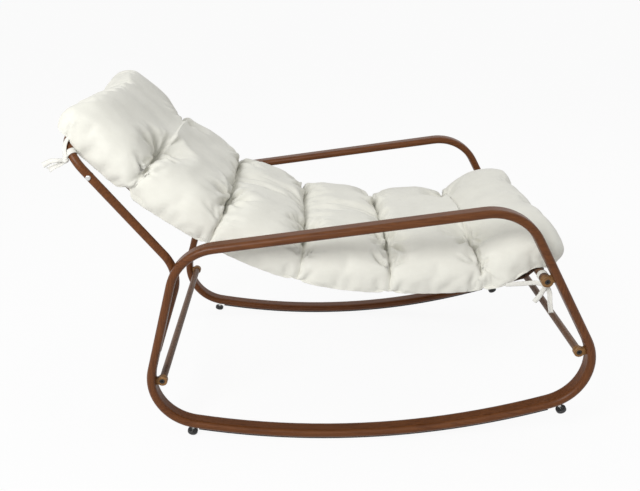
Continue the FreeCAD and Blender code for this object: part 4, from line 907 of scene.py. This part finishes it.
def make_sling():
    """One strip of cloth, from a hem under the head rail, round it, over the seat and round the seat rail."""
    head, seat = head_rail_place(), seat_rail_place()
    x = np.linspace(head[0] + PANEL_HEAD_GAP, seat[0] - PANEL_SEAT_GAP, PANEL_SAMPLES)
    z = heights_of("sling", x, from_above=True)
    slope = np.arctan2(np.gradient(z), np.gradient(x))
    panel = np.stack([x + SLING_DEPTH * np.sin(slope), z - SLING_DEPTH * np.cos(slope)], axis=-1)
    panel = panel[PANEL_END_SAMPLES:-PANEL_END_SAMPLES]
    first = panel[0] - head
    last = panel[-1] - seat
    head_angle = math.atan2(first[1], first[0])
    seat_angle = math.atan2(last[1], last[0])
    head_turn = arc_round(head, RAIL_RADIUS + CLOTH_RADIUS_GAP, head_angle - SLEEVE_TURN, head_angle)[:-2]
    seat_turn = arc_round(seat, SEAT_RAIL_RADIUS + CLOTH_RADIUS_GAP, seat_angle, seat_angle - SLEEVE_TURN)[2:]
    path = np.concatenate([head_turn, panel, seat_turn])
    from_head = (path - head) @ np.array([math.sin(BACK_ANGLE), -math.cos(BACK_ANGLE)])
    taper = np.clip(from_head / SLING_TAPER, 0.0, 1.0)
    half = (SLING_HEAD_WIDTH + (SLING_WIDTH - SLING_HEAD_WIDTH) * taper) / 2 - SLING_EDGE_GAP
    across = half[:, None] * np.linspace(-1.0, 1.0, SLING_COLUMNS)[None, :]
    points = np.stack([np.broadcast_to(path[:, :1], across.shape), across,
                       np.broadcast_to(path[:, 1:], across.shape)], axis=-1)
    faces = grid_faces(len(path), SLING_COLUMNS)
    piece = new_piece("sling_cloth_panel", points, faces, sling_cloth)
    add_thickness(piece, SLING_THICKNESS)
    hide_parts("sling")


# The ties

def smooth_path(knots, count):
    """Points on a Catmull-Rom curve through the knots."""
    knots = np.asarray(knots, float)
    padded_knots = np.concatenate([2 * knots[:1] - knots[1:2], knots, 2 * knots[-1:] - knots[-2:-1]])
    t = np.linspace(0.0, len(knots) - 1 - 1e-9, count)
    number = t.astype(int)
    u = (t - number)[:, None]
    a, b, c, d = (padded_knots[number + step] for step in range(4))
    square, cube = 2 * a - 5 * b + 4 * c - d, 3 * b - a - 3 * c + d
    return 0.5 * (2 * b + (c - a) * u + square * u ** 2 + cube * u ** 3)


def ribbon(path, facing, width, cup=0.0):
    """A strip of cloth along a path.

    Across it, a point lies at side * share * width / 2, raised by cup * (1 - share**2).
    """
    along = np.gradient(path, axis=0)
    along /= np.linalg.norm(along, axis=1)[:, None]
    side = np.cross(np.broadcast_to(facing, path.shape), along)
    side /= np.linalg.norm(side, axis=1)[:, None]
    out = np.cross(along, side)
    share = np.linspace(-1.0, 1.0, RIBBON_COLUMNS)
    width = np.broadcast_to(width, len(path))
    return (path[:, None, :] + side[:, None, :] * (share[None, :, None] * width[:, None, None] / 2)
            + out[:, None, :] * (cup * (1 - share[None, :, None] ** 2)))


def winding(centre, axis, start, radius, turns, advance, width, cup=0.0):
    """A ribbon along a helix round an axis, facing outwards, moved on by the advance in each turn."""
    axis = np.asarray(axis, float) / np.linalg.norm(axis)
    first = np.asarray(start, float) - axis * np.dot(start, axis)
    first /= np.linalg.norm(first)
    second = np.cross(axis, first)
    angle = np.linspace(0.0, 2 * math.pi * turns, int(HELIX_SAMPLES * turns))[:, None]
    way = first * np.cos(angle) + second * np.sin(angle)
    return ribbon(centre + way * radius + axis * (advance * angle / (2 * math.pi)), way, width, cup)


def strap_to(knot, base, points, mirror):
    """The path of a strap through points given from the rail's middle, to the knot."""
    return smooth_path([base + np.array(point) * mirror for point in points] + [knot], TIE_SAMPLES)


def tail_from(knot, points, mirror, count=TIE_SAMPLES):
    """The path of a tail from the knot through points given from it."""
    return smooth_path([knot] + [knot + np.array(point) * mirror for point in points], count)


def knot_strips(knot, mirror, loop_axis, loop_start, cross_axis):
    """A knot's two short windings, one round the tails and one across it."""
    return [
        winding(knot, loop_axis * mirror, loop_start * mirror, *KNOT_LOOP, KNOT_CUP),
        winding(knot, cross_axis * mirror, CROSS_START * mirror, *KNOT_CROSS, KNOT_CUP),
    ]


def tie_piece(name, node, strips):
    """Joins the strips of one tie into one sheet of cloth, as long as their middle lines together."""
    points, faces, first, length = [], [], 0, 0.0
    for strip in strips:
        points.append(strip.reshape(-1, 3))
        faces.append(grid_faces(strip.shape[0], strip.shape[1], first=first))
        first += strip.shape[0] * strip.shape[1]
        middle = strip[:, strip.shape[1] // 2]
        length += float(np.linalg.norm(np.diff(middle, axis=0), axis=1).sum())
    piece = new_piece(name, np.concatenate(points), np.concatenate(faces), tie_cloth)
    add_thickness(piece, TIE_THICKNESS)
    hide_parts(node)


def make_head_tie(hand, mirror):
    """A tie round the bend of the head rail: strap from the cushion, turns, knot and two tails."""
    back_along = np.array([-math.sin(BACK_ANGLE), 0.0, math.cos(BACK_ANGLE)])
    head_x, head_z = head_rail_place()
    across = UPRIGHT_ACROSS - HEAD_BEND * (1 - math.cos(HEAD_TIE_SWING))
    lowered = back_along * HEAD_BEND * (1 - math.sin(HEAD_TIE_SWING))
    centre = (np.array([head_x, 0.0, head_z]) - lowered + [0, across, 0]) * mirror
    axis = (back_along * math.cos(HEAD_TIE_SWING) - np.array([0, math.sin(HEAD_TIE_SWING), 0])) * mirror
    knot = centre + np.array(HEAD_KNOT) * mirror
    outward = np.array(HEAD_TIE_OUTWARD) * mirror
    lower_outward = outward * LOWER_TAIL_TILT
    tail_width = np.linspace(*HEAD_TAIL_WIDTHS, TIE_SAMPLES) * TIE_WIDTH
    tie_piece(f"{hand}_head_tie_strip", f"{hand}_head_tie", [
        winding(centre, axis, (-1, 0, 0), RAIL_RADIUS + TIE_RAIL_GAP, TIE_TURNS, advance=TURN_ADVANCE,
                width=TIE_RAIL_WIDTH),
        ribbon(strap_to(knot, centre, HEAD_STRAP, mirror), outward, HEAD_STRAP_WIDTH, cup=1.5 * MM),
        ribbon(tail_from(knot, HEAD_UPPER_TAIL, mirror), outward, tail_width, cup=2.5 * MM),
        ribbon(tail_from(knot, HEAD_LOWER_TAIL, mirror), lower_outward, tail_width, cup=-2.0 * MM),
        *knot_strips(knot, mirror, HEAD_LOOP_AXIS, HEAD_LOOP_START, HEAD_CROSS_AXIS),
    ])


def make_front_tie(hand, mirror):
    """A tie round the seat rail's end: strap from the cushion, turns, knot, a short and a long tail."""
    seat_x, seat_z = seat_rail_place()
    seat = np.array([seat_x, FRONT_TIE_ACROSS, seat_z]) * mirror
    axis = np.array([0, 1, 0]) * mirror
    knot = seat + np.array(FRONT_KNOT) * mirror
    outward = np.array(FRONT_TIE_OUTWARD) * mirror
    long_tail = tail_from(knot, FRONT_LONG_TAIL, mirror, LONG_TAIL_SAMPLES)
    tie_piece(f"{hand}_front_tie_strip", f"{hand}_front_tie", [
        winding(seat, axis, (1, 0, 0), SEAT_RAIL_RADIUS + TIE_RAIL_GAP, TIE_TURNS, advance=-TURN_ADVANCE,
                width=TIE_RAIL_WIDTH),
        ribbon(strap_to(knot, seat, FRONT_STRAP, mirror), outward, FRONT_TIE_WIDTH, cup=1 * MM),
        ribbon(tail_from(knot, FRONT_SHORT_TAIL, mirror), outward, FRONT_TIE_WIDTH, cup=1.5 * MM),
        ribbon(long_tail, outward, FRONT_TIE_WIDTH, cup=-1.5 * MM),
        *knot_strips(knot, mirror, FRONT_LOOP_AXIS, FRONT_LOOP_START, FRONT_CROSS_AXIS),
    ])


make_cushion()
make_sling()
for hand, side in SIDES.items():
    mirror = np.array([1.0, side, 1.0])
    make_head_tie(hand, mirror)
    make_front_tie(hand, mirror)


# Camera, light and floor

def make_camera():
    """The fitted camera: its right, up and backward directions as the columns of its matrix."""
    turn, down = CAMERA_TURN, CAMERA_DOWN
    right = Vector((math.cos(turn), -math.sin(turn), 0.0))
    ahead = Vector((math.sin(turn) * math.cos(down), math.cos(turn) * math.cos(down), -math.sin(down)))
    up = right.cross(ahead)
    data = bpy.data.cameras.new("camera")
    data.sensor_width = SENSOR
    data.lens = FOCAL_PIXELS / PICTURE_WIDTH * SENSOR
    data.shift_x = (PICTURE_WIDTH / 2 - AXIS_PIXEL[0]) / PICTURE_WIDTH
    data.shift_y = (AXIS_PIXEL[1] - PICTURE_HEIGHT / 2) / PICTURE_WIDTH
    camera = bpy.data.objects.new("camera", data)
    turned = Matrix((right, up, -ahead)).transposed().to_4x4()
    camera.matrix_world = Matrix.Translation(CAMERA_PLACE) @ turned
    scene.collection.objects.link(camera)
    scene.camera = camera


def seen_rays(tree):
    """1 for rays from the camera or from a gloss, and 0 for the rays that light the object."""
    path = add(tree, "ShaderNodeLightPath")
    seen = add(tree, "ShaderNodeMath", operation="MAXIMUM")
    tree.links.new(path.outputs["Is Camera Ray"], seen.inputs[0])
    tree.links.new(path.outputs["Is Glossy Ray"], seen.inputs[1])
    return seen


def make_floor():
    """A wide pale floor, seen as nearly white where nothing shades it."""
    far = FLOOR_REACH
    mesh = bpy.data.meshes.new("floor")
    mesh.from_pydata([(-far, -far, 0), (far, -far, 0), (far, far, 0), (-far, far, 0)], [], [(0, 1, 2, 3)])
    floor = bpy.data.objects.new("floor", mesh)
    scene.collection.objects.link(floor)
    material, tree, shader = material_with("pale floor")
    link = tree.links.new
    shader.inputs["Base Color"].default_value = (FLOOR_GREY, FLOOR_GREY, FLOOR_GREY, 1)
    shader.inputs["Roughness"].default_value = 0.9
    glow = add(tree, "ShaderNodeEmission", socket_Color=(1, 1, 1, 1), socket_Strength=1.0)
    part = add(tree, "ShaderNodeMath", operation="MULTIPLY")
    link(seen_rays(tree).outputs[0], part.inputs[0])
    part.inputs[1].default_value = FLOOR_SHOWN_WHITE
    mix = add(tree, "ShaderNodeMixShader")
    link(part.outputs[0], mix.inputs[0])
    link(shader.outputs[0], mix.inputs[1])
    link(glow.outputs[0], mix.inputs[2])
    link(mix.outputs[0], tree.nodes["Material Output"].inputs["Surface"])
    mesh.materials.append(material)


def make_world():
    """A white world, seen at full strength, that lights the object more weakly."""
    world = bpy.data.worlds.new("studio")
    world.use_nodes = True
    scene.world = world
    tree = world.node_tree
    background = tree.nodes["Background"]
    background.inputs["Color"].default_value = (1, 1, 1, 1)
    strength = add(tree, "ShaderNodeMapRange", socket_To_Min=WORLD_LIGHT, socket_To_Max=1.0)
    tree.links.new(seen_rays(tree).outputs[0], strength.inputs["Value"])
    tree.links.new(strength.outputs[0], background.inputs["Strength"])


def make_lamp(name, place, power):
    """A round soft lamp that looks at the chaise."""
    data = bpy.data.lights.new(name, "AREA")
    data.shape = "DISK"
    data.size = LAMP_WIDTH
    data.energy = power
    lamp = bpy.data.objects.new(name, data)
    way = Vector(LAMP_TARGET) - Vector(place)
    lamp.matrix_world = Matrix.Translation(place) @ way.to_track_quat("-Z", "Y").to_matrix().to_4x4()
    scene.collection.objects.link(lamp)


make_camera()
make_floor()
make_world()
for name, place, power in LAMPS:
    make_lamp(name, place, power)
